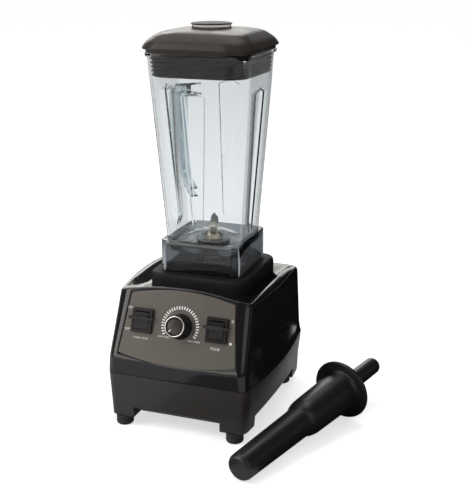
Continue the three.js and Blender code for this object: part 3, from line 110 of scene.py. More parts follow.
SPOUT_OUT, SPOUT_DIP, SPOUT_RUN = 9.0, 4.5, 42.0
FLUTE_TOP, FLUTE_PEAK, FLUTE_DEPTH = 425.0, 6.0, 5.0
FLUTE_HALF_TOP, FLUTE_HALF_LOW = 16.0, 6.5
NECK_R = 15.6
LID_HALF, LID_CORNER, LID_EDGE, LID_CROWN = 74.0, 29.5, 481.0, 504.6
BAND_LOW, BAND_RIBS = 447.0, 5
CAP_R, CAP_NECK_R, CAP_TOP, CAP_DISC = 26.6, 24.0, 511.2, 1.9
TAMPER_TIP, TAMPER_TURN = (116.6, -221.6), math.radians(71.2)
TAMPER_ROD, TAMPER_STOP, TAMPER_LENGTH = 122.0, 219.0, 301.0
TAMPER_STOP_R, TAMPER_TIP_R = 40.2, 17.5
HUB_R = 14.5                                     # bright hub inside the blade unit's flange
SCALE_R, MARK_HALF = 23.9, (2.1, 0.86)
INK_LIFT, MARK_RISE, LETTER_RISE = 0.01, 0.06, 0.02
GRADE_LOW, GRADE_HIGH, GRADES = 262.0, 412.0, 11  # measuring marks on the jar
POINTER_R, POINTER_HALF, POINTER_TURN = 8.4, (1.9, 0.55), math.radians(225)

# ------------------------------------------------------------------ stage and meshes, metres
FLOOR_HALF, FLOOR_GAP, FLAG_LIFT = 7.0, 0.0004, 0.0006
EYE = (0.48134, -1.20057, 0.58648)
EYE_YAW, EYE_PITCH, EYE_ROLL = (math.radians(v) for v in (20.66, 17.155, -0.195))
MERGE_REACH, NO_LENGTH, WELD_REACH = 2e-6, 1e-7, 1e-5
FLAT_ANGLE, EDGE_ANGLE = math.radians(0.8), math.radians(33)


def up(height):
    """Height above the worktop turned into the part's own frame."""
    return height + WORKTOP


def clamp01(value):
    """Value held between nothing and one."""
    return np.clip(value, 0.0, 1.0)


def lerp(a, b, t):
    """Straight blend from a to b."""
    return a + (b - a) * t


# ------------------------------------------------------------------ surfaces
class Skin:
    """Patches of points and faces that are joined into one closed surface."""

    def __init__(self):
        self.points, self.faces, self.count = [], [], 0

    def add(self, points, faces):
        """Takes points and faces counted from the patch's own first point."""
        self.points.append(np.asarray(points, float).reshape(-1, 3))
        self.faces += [tuple(f) for f in (np.asarray(faces) + self.count).tolist()]
        self.count += len(self.points[-1])

    def grid(self, rows, wrap_rows=False, wrap_cols=True, keep=None):
        """Quads between neighbouring rows and columns of a grid of points."""
        rows = np.asarray(rows, float)
        high, wide = rows.shape[:2]
        r = np.arange(high if wrap_rows else high - 1)
        c = np.arange(wide if wrap_cols else wide - 1)
        r, c = np.meshgrid(r, c, indexing="ij")
        after, beside = (r + 1) % high, (c + 1) % wide
        quads = np.stack([r * wide + c, r * wide + beside, after * wide + beside,
                          after * wide + c], -1)
        self.add(rows, quads.reshape(-1, 4) if keep is None else quads[keep])

    def cap(self, ring):
        """One flat face over a ring."""
        self.add(ring, [list(range(len(ring)))])

    def boxes(self, corners):
        """Boxes of eight corners each, the lower four first."""
        faces = np.array([[3, 2, 1, 0], [4, 5, 6, 7], [0, 1, 5, 4], [1, 2, 6, 5],
                          [2, 3, 7, 6], [3, 0, 4, 7]])
        self.add(corners, (faces + 8 * np.arange(len(corners))[:, None, None]).reshape(-1, 4))
        return self


def skin_of(rows, wrap_rows=False):
    """Skin of one grid of points."""
    skin = Skin()
    skin.grid(rows, wrap_rows)
    return skin


def placed(name, data):
    """New object in the scene."""
    made = bpy.data.objects.new(name, data)
    bpy.context.scene.collection.objects.link(made)
    return made


def piece(name, skin, look, body, stands_for=(), sharp=34.0, solid=True):
    """Makes the joined skin an object that rides on a body of the frame.

    Equal points are merged, so poles and seams close, and the faces are turned outwards.
    Edges sharper than the given angle stay crisp in the shading.
    """
    mesh = bpy.data.meshes.new(name)
    mesh.from_pydata((np.concatenate(skin.points) * MM).tolist(), [], skin.faces)
    work = bmesh.new()
    work.from_mesh(mesh)
    bmesh.ops.remove_doubles(work, verts=work.verts, dist=MERGE_REACH)
    bmesh.ops.dissolve_degenerate(work, edges=work.edges, dist=NO_LENGTH)
    bmesh.ops.recalc_face_normals(work, faces=work.faces)
    if work.calc_volume(signed=True) < 0:
        bmesh.ops.reverse_faces(work, faces=work.faces)
    open_edges = sum(1 for e in work.edges if len(e.link_faces) != 2)
    work.to_mesh(mesh)
    work.free()
    if solid and open_edges:
        raise RuntimeError(f"{name} has {open_edges} edges that aren't closed")
    mesh.polygons.foreach_set("use_smooth", np.ones(len(mesh.polygons), bool))
    mesh.set_sharp_from_angle(angle=math.radians(sharp))
    mesh.materials.append(finish(look))
    made = placed(name, mesh)
    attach(made, body)
    if stands_for:
        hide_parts(*stands_for)
    return made


def soften(name, look, width=0.35, segments=2):
    """Finishes a solid of the frame: corners welded, flats joined, edges rounded."""
    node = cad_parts[name]
    mesh = node.data
    mesh.materials.clear()
    mesh.materials.append(finish(look))
    mesh.polygons.foreach_set("use_smooth", np.ones(len(mesh.polygons), bool))
    weld = node.modifiers.new("Weld", "WELD")
    weld.merge_threshold = WELD_REACH
    flats = node.modifiers.new("Flats", "DECIMATE")
    flats.decimate_type, flats.angle_limit = "DISSOLVE", FLAT_ANGLE
    edges = node.modifiers.new("Edges", "BEVEL")
    edges.width, edges.segments, edges.limit_method = width * MM, segments, "ANGLE"
    edges.angle_limit, edges.harden_normals = EDGE_ANGLE, True
    level = node.modifiers.new("Level", "WEIGHTED_NORMAL")
    level.weight, level.keep_sharp = 100, True
    return node


def rounding(back, ahead, steps):
    """Matrix that samples a closed control polygon with rounded corners.

    Each corner is a quadratic curve from `back` of the way to the corner before to `ahead`
    of the way to the corner after; one half each makes one smooth line through the middles.
    """
    back, ahead = np.asarray(back, float)[:, None], np.asarray(ahead, float)[:, None]
    count = len(back)
    t = (np.arange(steps) + 0.5)[None, :] / steps
    i = np.arange(count)
    m = np.zeros((count, steps, count))
    m[i, :, i] = (1 - t) ** 2 * (1 - back) + 2 * t * (1 - t) + t ** 2 * (1 - ahead)
    m[i, :, (i - 1) % count] += (1 - t) ** 2 * back
    m[i, :, (i + 1) % count] += t ** 2 * ahead
    return m.reshape(-1, count)


def through(rows, steps):
    """Rows blended by cubic curves that pass through every given row."""
    rows = np.asarray(rows, float)
    padded = np.concatenate([2 * rows[:1] - rows[1:2], rows, 2 * rows[-1:] - rows[-2:-1]])
    t = (np.arange(steps) / steps).reshape(-1, *[1] * (rows.ndim - 1))
    a, b, c, d = (padded[k:len(padded) - 3 + k, None] for k in range(4))
    curve = 0.5 * (2 * b + (c - a) * t + (2 * a - 5 * b + 4 * c - d) * t ** 2
                   + (3 * b - a - 3 * c + d) * t ** 3)
    return np.concatenate([curve.reshape(-1, *rows.shape[1:]), rows[-1:]])


def soft_line(corners, steps=5):
    """Open line through [x, y, reach] corners, each rounded over its reach on both sides.

    A corner is the quadratic curve between the points that lie `reach` before and after it.
    """
    corners = np.asarray(corners, float)
    p, reach = corners[:, :2], corners[:, 2:]
    gap = np.linalg.norm(np.diff(p, axis=0), axis=1, keepdims=True)
    inner, r = p[1:-1], reach[1:-1]
    start = inner + (p[:-2] - inner) * np.minimum(r / gap[:-1], 0.5)
    end = inner + (p[2:] - inner) * np.minimum(r / gap[1:], 0.5)
    t = np.linspace(0, 1, steps)[None, :, None]
    curve = ((1 - t) ** 2 * start[:, None] + 2 * t * (1 - t) * inner[:, None]
             + t ** 2 * end[:, None])
    line = np.concatenate([p[:1], curve.reshape(-1, 2), p[-1:]])
    keep = np.ones(len(line), bool)
    keep[1:] = np.linalg.norm(np.diff(line, axis=0), axis=1) > 1e-4
    return line[keep]


def turned(profile, steps=96, flute=None):
    """Grid of a profile of [radius, height] turned about Z; `flute` may change the radius."""
    angle = np.arange(steps) * TAU / steps
    radius = np.repeat(profile[:, :1], steps, 1)
    height = np.repeat(profile[:, 1:], steps, 1)
    if flute is not None:
        radius = flute(radius, height, angle[None, :])
    return np.stack([radius * np.cos(angle), radius * np.sin(angle), height], -1)


def square_reach(angle, half, corner):
    """Distance from the axis to a square with round corners, in a direction.

    A side lies at half / cos(angle); a corner is the far crossing with its circle.
    """
    a = np.abs(np.mod(angle + math.pi / 4, math.pi / 2) - math.pi / 4)
    c = half - corner
    b = c * (np.cos(a) + np.sin(a))
    round_part = b + np.sqrt(np.maximum(0.0, b * b - 2 * c * c + corner * corner))
    return np.where(half * np.tan(a) <= c, half / np.cos(a), round_part)


def corner_angles(steps):
    """Directions round the axis, closest together at the four corners."""
    s = np.linspace(-1, 1, steps, endpoint=False)
    quarter = math.radians(45) * (1 + 0.5 * s + 0.5 * s ** 3)
    return (quarter[None, :] + np.arange(4)[:, None] * math.pi / 2).reshape(-1)


def ring_of(reach, angles, height):
    """Ring at a height: its reach times the cosine and the sine of each direction."""
    return np.stack([reach * np.cos(angles), reach * np.sin(angles),
                     np.full(len(angles), up(height))], -1)


def square_ring(half, corner, height, angles):
    """Ring of a square with round corners at a height."""
    return ring_of(square_reach(angles, half, corner), angles, height)


def on_panel(points):
    """Panel coordinates (across, up the slope, outward) turned into the part's frame."""
    x, along, out = np.moveaxis(np.asarray(points, float), -1, 0)
    y = (FRONT_Y + PANEL_RISE * math.tan(LEAN) + along * math.sin(LEAN)
         - out * math.cos(LEAN))
    z = up(PANEL_FOOT + PANEL_RISE) + along * math.cos(LEAN) + out * math.sin(LEAN)
    return np.stack([x, y, z], -1)


# ------------------------------------------------------------------ finishes
def fill(node, values):
    """Sets a node's inputs from their names and values."""
    for key, value in values.items():
        node.inputs[key].default_value = value


class Tree:
    """Node tree of a material or the world, with the steps that the finishes share."""

    def __init__(self, tree):
        self.nodes, self.link = tree.nodes, tree.links.new

    def node(self, kind, **settings):
        """New node of a kind with its settings."""
        made = self.nodes.new("ShaderNode" + kind)
        for key, value in settings.items():
            setattr(made, key, value)
        return made

    def noise(self, scale, detail=2.0, stretch=None):
        """Noise on object coordinates, so many waves to a metre, optionally drawn out."""
        source = self.node("TexCoord").outputs["Object"]
        if stretch:
            mapping = self.node("Mapping")
            fill(mapping, {"Scale": stretch})
            self.link(source, mapping.inputs["Vector"])
            source = mapping.outputs["Vector"]
        noise = self.node("TexNoise")
        fill(noise, {"Scale": scale, "Detail": detail})
        self.link(source, noise.inputs["Vector"])
        return noise.outputs["Fac"]

    def ranged(self, source, low, high, start=0.3, end=0.7):
        """Source between start and end mapped onto low to high."""
        node = self.node("MapRange")
        fill(node, {"From Min": start, "From Max": end, "To Min": low, "To Max": high})
        self.link(source, node.inputs["Value"])
        return node.outputs["Result"]

    def tinted(self, source, one, two):
        """Blend of two colours by a source."""
        mix = self.node("Mix", data_type="RGBA")
        fill(mix, {"A": (*one, 1), "B": (*two, 1)})
        self.link(source, mix.inputs["Factor"])
        return mix.outputs["Result"]

    def shaded(self, source, colour, spread):
        """Colour darkened and lightened by a share where a noise is low and high."""
        one, two = (tuple(min(1.0, c * (1 + s)) for c in colour) for s in (-spread, spread))
        return self.tinted(self.ranged(source, 0, 1), one, two)

    def bumped(self, source, strength, distance):
        """Bump from a source, its height in millimetres."""
        bump = self.node("Bump")
        fill(bump, {"Strength": strength, "Distance": distance * MM})
        self.link(source, bump.inputs["Height"])
        return bump.outputs["Normal"]

    def seen_white(self, path):
        """One for camera rays and for rays through something clear, else nothing."""
        seen = self.node("Math", operation="ADD", use_clamp=True)
        self.link(path.outputs["Is Camera Ray"], seen.inputs[0])
        self.link(path.outputs["Is Transmission Ray"], seen.inputs[1])
        return seen.outputs[0]


def tree_of(name):
    """New material with its tree and its shader."""
    material = bpy.data.materials.new(name)
    material.use_nodes = True
    tree = Tree(material.node_tree)
    return material, tree, tree.nodes["Principled BSDF"]


def moulded(name, colour, rough, grain, grain_scale, spread, smear, metallic=0.0,
            specular=0.5):
    """Moulded plastic or rubber: faint cloudy colour, handling smears and a fine grain."""
    material, tree, shader = tree_of(name)
    tree.link(tree.shaded(tree.noise(22, 3), colour, spread), shader.inputs["Base Color"])
    smears = tree.noise(46, 4, (1, 1, 2.4))
    tree.link(tree.ranged(smears, rough - smear, rough + smear), shader.inputs["Roughness"])
    if grain:
        fine = tree.noise(grain_scale)
        tree.link(tree.bumped(fine, 0.35, grain), shader.inputs["Normal"])
    fill(shader, {"Metallic": metallic, "Specular IOR Level": specular})
    return material


PAINTED_EDGE_SHADE_SHARE = 0.04                             # what is left of a tint seen edge on: painted edge shade


def clear(name, colour, rough, ior=1.49, waves=0.02):
    """Clear moulded plastic: a tint that darkens in two steps to nearly black where a wall is
    seen edge on, a painted shade that draws dark outlines along the edges and the flute slopes,
    and a faint mould waviness.
    """
    material, tree, shader = tree_of(name)
    slant = tree.node("LayerWeight")
    fill(slant, {"Blend": 0.5})
    # painted edge shade: how far the tint goes dark, by how edge-on the wall is seen
    depth = tree.node("Math", operation="MAXIMUM")
    for key, step in enumerate(((0, 0.48, 0.45, 0.66), (0, 1, 0.68, 0.8))):
        tree.link(tree.ranged(slant.outputs["Facing"], *step), depth.inputs[key])
    # nearly black tint of the painted edge shade
    edge_shade_tint = tuple(c * PAINTED_EDGE_SHADE_SHARE for c in colour)
    tree.link(tree.tinted(depth.outputs[0], colour, edge_shade_tint), shader.inputs["Base Color"])
    haze = tree.noise(30, 3)
    tree.link(tree.ranged(haze, rough * 0.3, rough * 1.7), shader.inputs["Roughness"])
    fill(shader, {"Transmission Weight": 1.0, "IOR": ior})
    if waves:
        swell = tree.noise(14, 1, (1, 1, 0.3))
        tree.link(tree.bumped(swell, 0.25, waves), shader.inputs["Normal"])
    return material


def machined(name, colour, rough, stretch=(1, 1, 30), scale=240, bump=0.01, spread=0.12):
    """Metal with fine tool lines: noise drawn out along the cut, in colour and gloss."""
    material, tree, shader = tree_of(name)
    lines = tree.noise(scale, 3, stretch)
    tree.link(tree.shaded(lines, colour, spread), shader.inputs["Base Color"])
    tree.link(tree.ranged(lines, rough * 0.75, rough * 1.25), shader.inputs["Roughness"])
    tree.link(tree.bumped(lines, 0.3, bump), shader.inputs["Normal"])
    fill(shader, {"Metallic": 1.0})
    return material


# Each finish: its maker, its colour and its roughness, either of which may be the name of a
# setting, and the maker's other values in order.
FINISHES = {
    "gloss_black": (moulded, "housing", "gloss", 0, 1, 0.08, 0.02),
    "charcoal_satin": (moulded, "pan", 0.36, 0.03, 2400, 0.06, 0.04),
    "panel_grey_satin": (moulded, "panel", 0.42, 0.02, 3200, 0.05, 0.03, 0.25),
    "print_white": (moulded, (0.9, 0.89, 0.86), 0.55, 0, 1, 0.04, 0.03),
    "print_grey": (moulded, (0.5, 0.48, 0.46), 0.55, 0, 1, 0.04, 0.03),
    "switch_black": (moulded, (0.012, 0.010, 0.0095), 0.3, 0.02, 2600, 0.1,
                     0.05, 0, 0.22),
    "knob_black": (moulded, (0.010, 0.009, 0.009), 0.32, 0.02, 2600, 0.1, 0.04,
                   0, 0.15),
    "knob_face": (moulded, (0.032, 0.025, 0.024), 0.3, 0.01, 2600, 0.08, 0.03,
                  0.35),
    "knob_chrome": (machined, (0.7, 0.7, 0.69), 0.16, (1, 1, 1), 300, 0.002, 0.03),
    "pad_rubber": (moulded, (0.0105, 0.0098, 0.0092), 0.66, 0.04, 1900, 0.12,
                   0.06, 0, 0.2),
    "foot_rubber": (moulded, (0.012, 0.012, 0.012), 0.6, 0.04, 1900, 0.12,
                    0.05),
    "jar_clear": (clear, "jar", 0.012, 1.32),
    "handle_clear": (clear, "handle", 0.015),
    "jar_marks": (moulded, (0.5, 0.55, 0.58), 0.5, 0, 1, 0.04, 0.03),
    "skirt_smoke": (clear, "skirt", 0.02, 1.49, 0),
    "lid_rubber": (moulded, "lid", 0.38, 0.02, 2200, 0.06, 0.05, 0, 0.2),
    "lid_band": (moulded, (0.014, 0.0125, 0.0115), 0.4, 0.02, 2200, 0.06, 0.05,
                 0, 0),
    "cap_clear": (clear, (0.5, 0.47, 0.43), 0.03),
    "cap_black": (moulded, (0.013, 0.012, 0.012), 0.45, 0.01, 2400, 0.1, 0.04,
                  0, 0.05),
    "blade_steel": (machined, (0.86, 0.86, 0.85), 0.34, (1, 9, 1), 260),
    "hub_brass": (machined, (0.44, 0.39, 0.3), 0.24, (1, 1, 22), 260),
    "tamper_black": (moulded, (0.0105, 0.0098, 0.0095), 0.36, 0.02, 2000,
                     0.1, 0.05),
    "shaft_steel": (machined, (0.56, 0.56, 0.57), 0.28),
    "flange_steel": (machined, (0.16, 0.18, 0.2), 0.3),
    "core_laminations": (machined, (0.26, 0.26, 0.27), 0.5, (0.02, 0.02, 60),
                   40, 0.05, 0.25),
    "winding_copper": (machined, (0.62, 0.24, 0.09), 0.32, (0.1, 0.1, 40), 60,
               0.08, 0.2),
    "cast_alloy": (machined, (0.5, 0.5, 0.52), 0.5, (1, 1, 1), 600, 0.05, 0.08),
    "brush_carbon": (moulded, (0.02, 0.02, 0.021), 0.7, 0.05, 1500, 0.2, 0.06),
    "brush_brass": (machined, (0.72, 0.52, 0.22), 0.3, (1, 1, 12), 200),
    "board_green": (moulded, (0.015, 0.11, 0.05), 0.35, 0.03, 900, 0.15, 0.05),
    "pot_blue": (moulded, (0.04, 0.09, 0.28), 0.4, 0.01, 1500, 0.1, 0.05),
    "fan_nylon": (moulded, (0.03, 0.03, 0.03), 0.5, 0.03, 1800, 0.1, 0.05),
}
_made = {}


def finish(name):
    """Finish by name, made once from its recipe and the user's settings."""
    if name not in _made:
        look = bpy.context.scene.blender_finishes
        maker, *values = FINISHES[name]
        _made[name] = maker(name, *(getattr(look, v) if isinstance(v, str) else v
                                    for v in values))
    return _made[name]


# ------------------------------------------------------------------ base housing
def front_y(height):
    """Front face position at a height: upright, then leaning back, with a soft bend."""
    d = height - PANEL_FOOT
    return FRONT_Y + 0.5 * (d + np.sqrt(d * d + 6.0)) * math.tan(LEAN)


def rim_height(x, y):
    """Height of the rim round the dished deck: arched over the panel, lower at the back."""
    ahead = clamp01(1 - (y - front_y(RIM_LOW)) / RIM_ARC_RUN)
    across = clamp01(1 - (x / CORNER_X) ** 2)
    along = clamp01(1 - (y / REAR_Y) ** 2) * clamp01(np.abs(x) / CORNER_X)
    behind = clamp01((y - REAR_Y + RIM_FALL_START) / RIM_FALL_RUN)
    corner = clamp01((np.abs(x) - PANEL_HALF_TOP) / RIM_CORNER_RUN) * ahead
    return (RIM_LOW + RIM_ARC * across * ahead + RIM_SIDE * along - RIM_FALL * behind
            - RIM_CORNER * corner)


def outline(height, wall=0.0, front=0.0):
    """Control polygon of the base, 28 points a row, at a height given per point.

    Half the plan is a straight front, a corner, a side that swells as the sine of its
    length, and a rounded rear corner; the other half is its mirror image. Widths shrink in
    a straight line with height, and the skirt flares out below the seam's height plus 15.
    """
    h = np.atleast_2d(height)
    h = np.broadcast_to(h, (h.shape[0], 15)) if h.shape[1] == 1 else h
    wall = np.broadcast_to(np.asarray(wall, float).reshape(-1, 1), h.shape)
    front = np.broadcast_to(np.asarray(front, float).reshape(-1, 1), h.shape)
    t = clamp01((h - SEAM) / (RIM_LOW - SEAM))
    low = clamp01((SEAM - h) / (SEAM - LEG_FOOT))
    face_y = front_y(h) + 2 * low
    face_x, side_x = CORNER_X - 11 - 12 * t - low, CORNER_X - 3 - 6 * t - 3 * low
    rear_x, rear_y = CORNER_X - 4 - 4 * t - 2 * low, REAR_Y - 10 - 4 * t - 3 * low
    back_y, bulge = REAR_Y - 7 * t - 3 * low, SIDE_BULGE - 3 * low
    flare = np.where(h >= SEAM, 2.5 * clamp01(1 - (h - SEAM) / 15) ** 2, 0)
    x, y = np.zeros(h.shape), np.zeros(h.shape)
    a = np.array([0, 0.5, 1.0])
    x[:, :3] = a * (face_x - wall * 0.5)[:, :3]
    y[:, :3] = (face_y + wall + front)[:, :3]
    u = np.array([0, 0.1, 0.25, 0.42, 0.6, 0.78, 0.92, 1.0])
    s = slice(3, 11)
    x[:, s] = (lerp(side_x[:, s], rear_x[:, s], u) + bulge[:, s] * np.sin(math.pi * u)
               + flare[:, s] * np.sqrt(u) - wall[:, s])
    start = (face_y + 6 + t)[:, s] + np.where(u < 0.05, (wall + front)[:, s], 0)
    y[:, s] = start + (rear_y[:, s] - start) * u
    x[:, 11], y[:, 11] = (rear_x - 5 - 0.8 * wall)[:, 11], (back_y - 5 - 0.8 * wall)[:, 11]
    x[:, 12], y[:, 12] = (rear_x - 14)[:, 12], (back_y - wall)[:, 12]
    x[:, 13], y[:, 13] = (rear_x - 14)[:, 13] / 2, (back_y - wall)[:, 13]
    y[:, 14] = (back_y - wall)[:, 14]
    half = np.stack([x, y, up(h)], -1)
    return np.concatenate([half, half[:, 13:0:-1] * (-1, 1, 1)], 1)


def mirrored(values):
    """Values of the half plan's 15 points carried round all 28."""
    values = np.asarray(values, float)
    return np.concatenate([values, values[13:0:-1]])


COLUMN_STEPS = 12
EDGE_RADIUS = np.array([1.4, 1.4, 1.4, 3.4, 6, 8, 9, 9, 9, 9, 9, 9, 9, 8, 8])


def base_columns():
    """Sampling matrix of the base plan, crisp where the face meets the front corners."""
    back, ahead = np.full(28, 0.5), np.full(28, 0.5)
    back[2], ahead[2], back[3], ahead[3] = 0.08, 0.45, 0.45, 0.4
    back[26], ahead[26], back[25], ahead[25] = 0.45, 0.08, 0.4, 0.45
    return rounding(back, ahead, COLUMN_STEPS)


def panel_outline(side, share, margin):
    """Point of the panel's outline grown by a margin, in panel coordinates.

    The outline is two bowed edges, two straight leaning sides and four small quadratic
    corners. Sides 0 to 3 run anticlockwise from the lower left, from the middle of one
    corner to the middle of the next, and the share is taken of their length.
    """
    low, top, r = PANEL_HALF_LOW + margin, PANEL_HALF_TOP + margin, 3.0
    high = PANEL_HEIGHT + margin
    foot, shoulder = (low - 0.3, r - margin), (top + 0.3, high - r)
    right = np.array([
        [(low - r, -margin), (low, -margin), foot],
        [foot, ((low + top) / 2, (high - 2 * margin) / 2 + margin), shoulder],
        [shoulder, (top, high), (top - r, high)]])
    bends = np.concatenate([
        [[(-low + r, -margin), (0, -2 * PANEL_ARC - margin), (low - r, -margin)]], right,
        [[(top - r, high), (0, high + 2 * PANEL_ARC), (-top + r, high)]],
        right[::-1, ::-1] * (-1, 1)])
    middle = 16
    t = np.linspace(0, 1, 2 * middle + 1)[None, :, None]
    a, b, c = (bends[:, None, k] for k in range(3))
    line = (1 - t) ** 2 * a + 2 * t * (1 - t) * b + t ** 2 * c
    line = np.concatenate([line[-1, middle:], line[:-1].reshape(-1, 2), line[-1, :middle + 1]])
    length = np.concatenate([[0], np.cumsum(np.linalg.norm(np.diff(line, axis=0), axis=1))])
    corners = [(2 * middle + 1) * (bend + 1) for bend in (1, 3, 5)]
    marks = length[[0, *corners, len(line) - 1]]
    at = marks[side] + share * (marks[side + 1] - marks[side])
    return np.stack([np.interp(at, length, line[:, 0]), np.interp(at, length, line[:, 1])], -1)


def housing_skin(groove):
    """Upper housing as one closed surface.

    Rings of the base plan climb the outer wall, turn over the rim by a quarter circle, sink
    into the dished deck along a half cosine, drop into the pad's pocket and the drive
    opening, and come back down inside the wall. The panel's recess is a second patch: its
    rings blend the edge of an opening in the front wall into the panel's outline.
    """
    sample = base_columns()
    skin = Skin()
    heights = np.array([73.3, 73.55, 74.1, 75, 76.5, 78, 80, 82, 84, 86, 88])
    insets = np.array([0.8, 0.3] + [0.0] * 9)
    foot = sample @ outline(heights[:, None], insets)
    base = outline(np.array([[RIM_LOW]]))[0]
    edge = rim_height(base[:15, 0], base[:15, 1]) - EDGE_RADIUS
    v = np.concatenate([np.linspace(0, 0.13, 12)[1:-1], np.linspace(0.13, 0.92, 26)[:-1],
                        np.linspace(0.92, 1, 7)])[:, None]
    top_rows = outline(lerp(heights[-1], edge[None, :], v))
    wall = sample @ top_rows
    last, radius = top_rows[-1], mirrored(EDGE_RADIUS)
    inward = -last[:, :2] - (0, 20)
    inward /= np.linalg.norm(inward, axis=1, keepdims=True)
    angle = np.linspace(0, math.pi / 2, 10)[1:, None]
    run = radius * (1 - np.cos(angle))
    turn = np.stack([last[:, 0] + inward[:, 0] * run, last[:, 1] + inward[:, 1] * run,
                     last[:, 2] + radius * np.sin(angle)], -1)
    rim_rows = sample @ turn
    rim = rim_rows[-1]
    aim = np.arctan2(rim[:, 1], rim[:, 0])

    def pad_row(grow, height):
        """The pad's plan grown by a width, seen along the rim's own directions."""
        return square_ring(PAD_HALF + grow, PAD_CORNER + grow, height, aim)

    pad = pad_row(1.4, DECK)
    t = np.linspace(0, 1, 26)[1:, None, None]
    share = 0.5 - 0.5 * np.cos(math.pi * t[..., 0] ** 0.9)
    deck = lerp(rim[None], pad[None], t)
    deck[..., 2] = lerp(rim[None, :, 2], pad[None, :, 2], share)
    seat = DECK - PAD_POCKET
    tail = [pad_row(0.8, DECK - 0.05), pad_row(0.4, DECK - 0.35), pad_row(GAP, seat),
            pad_row(-8, seat), pad_row(-24, seat), ring_of(22.4, aim, seat),
            ring_of(22, aim, seat - 0.4), ring_of(22, aim, DECK - DECK_WALL),
            pad_row(-6, DECK - DECK_WALL)]
    inside = sample @ outline(np.array([[160.0], [94.0], [73.3]]), WALL, 7.0)
    grid = np.concatenate([foot, wall, rim_rows, deck, np.array(tail), inside])
    first, final = len(heights) - 1, len(heights) + len(wall) - 1
    right, left = 2 * COLUMN_STEPS, 27 * COLUMN_STEPS - 1
    keep = np.ones(grid.shape[:2], bool)
    keep[first:final, :right] = keep[first:final, left:] = False
    skin.grid(grid, wrap_rows=True, keep=keep)

    columns = np.r_[left:grid.shape[1], 0:right + 1]
    sides = [grid[first, columns], grid[first:final + 1, right], grid[final, columns[::-1]],
             grid[final:first - 1:-1, left]]
    hole, inner, collar, wall_low = [], [], [], []
    for side, line in enumerate(sides):
        step = np.linalg.norm(np.diff(line, axis=0), axis=1)
        s = np.concatenate([[0], np.cumsum(step)[:-1]]) / step.sum()
        s = s - 0.8 * np.sin(TAU * s) / TAU
        hole.append(line[:-1])
        for target, margin, out in ((inner, groove, 0.0), (collar, groove - 0.5, -0.35),
                                    (wall_low, groove - 0.5, RECESS)):
            flat = panel_outline(side, s, margin)
            target.append(on_panel(np.concatenate([flat, np.full((len(s), 1), out)], 1)))
    hole, inner, collar, wall_low = map(np.concatenate, (hole, inner, collar, wall_low))
    inner[:, 1] = front_y(inner[:, 2] - WORKTOP)
    collar[:, 1] = np.maximum(collar[:, 1], front_y(collar[:, 2] - WORKTOP) + 0.3)
    u = np.array([0.2, 0.45, 0.7, 0.9])[:, None, None]
    between = lerp(hole[None], inner[None], u)
    between[..., 1] = front_y(between[..., 2] - WORKTOP)
    middle = wall_low.mean(0)
    centre = [lerp(wall_low, middle, f) for f in (0.35, 0.7, 1.0)]
    skin.grid(np.concatenate([hole[None], between, inner[None], collar[None],
                              wall_low[None], centre]))
    return skin


# ------------------------------------------------------------------ jar
JAR_ARC = 9


def jar_columns():
    """Sampling matrix of the jar's plan: flutes with small radii, corners full round."""
    back = [0.5, 0.04, 0.18, 0.05, 0.18, 0.3] + [0.5] * JAR_ARC
    ahead = [0.3, 0.18, 0.05, 0.18, 0.04, 0.5] + [0.5] * JAR_ARC
    return rounding(back * 4, ahead * 4, 3)


def jar_plan(height):
    """Half width and corner radius of the jar's outside at a height."""
    t = (height - JAR_BOTTOM) / (JAR_TOP - JAR_BOTTOM)
    return lerp(JAR_HALF_LOW, JAR_HALF_TOP, t), lerp(JAR_CORNER_LOW, JAR_CORNER_TOP, t)


def jar_inside(height):
    """Half width of the jar's inside at a height."""
    return jar_plan(height)[0] - JAR_WALL


def jar_ring(height, inset=0.0, lip=0.0, dip=0.0):
    """Control ring of the jar's wall at a height.

    A square with round corners grows in a straight line from foot to rim. Each side has a
    flute: a flat floor `depth` inwards between two slopes, narrower towards the foot, that
    closes to a point over its top. `lip` moves the ring outwards, and `dip` pulls the front
    right corner out and down as a bell curve of the corner's angle, which is the spout.
    """
    half, corner = (size - inset for size in jar_plan(height))
    down = clamp01((FLUTE_TOP - height) / (FLUTE_TOP - SKIRT_TOP - 8))
    opened = clamp01((FLUTE_TOP + FLUTE_PEAK - height) / FLUTE_PEAK)
    foot = clamp01((height - SKIRT_TOP - 8) / 12)
    width = max(1.2, lerp(FLUTE_HALF_TOP, FLUTE_HALF_LOW, down) * opened)
    depth, slope = FLUTE_DEPTH * opened * foot, min(2.5, width * 0.4)
    x = np.array([-half + corner, -width, -width + slope, width - slope, width,
                  half - corner])
    y = -half - lip + np.array([0, 0, depth, depth, 0, 0])
    a = np.arange(1, JAR_ARC + 1) * math.pi / 2 / (JAR_ARC + 1)
    arc_x = half - corner + (corner + lip) * np.sin(a)
    arc_y = -half + corner - (corner + lip) * np.cos(a)
    side = np.stack([np.concatenate([x, arc_x]), np.concatenate([y, arc_y]),
                     np.full(6 + JAR_ARC, up(height))], -1)
    bell = np.exp(-((np.degrees(a) / 15 - 3) / 1.4) ** 2)
    quarters = []
    for q in range(4):
        turn = Matrix.Rotation(q * math.pi / 2, 3, "Z")
        points = side.copy()
        if q == 0 and dip:
            out = bell * SPOUT_OUT * dip * math.sqrt(0.5)
            points[6:, 0] += out
            points[6:, 1] -= out
            points[6:, 2] -= bell * SPOUT_DIP * dip ** 2
        quarters.append(points @ np.array(turn).T)
    return np.concatenate(quarters)


def spout_open(height):
    """How far the spout has opened: the square of the share of its run up to the rim."""
    return float(clamp01((height - JAR_TOP + SPOUT_RUN) / SPOUT_RUN) ** 2)


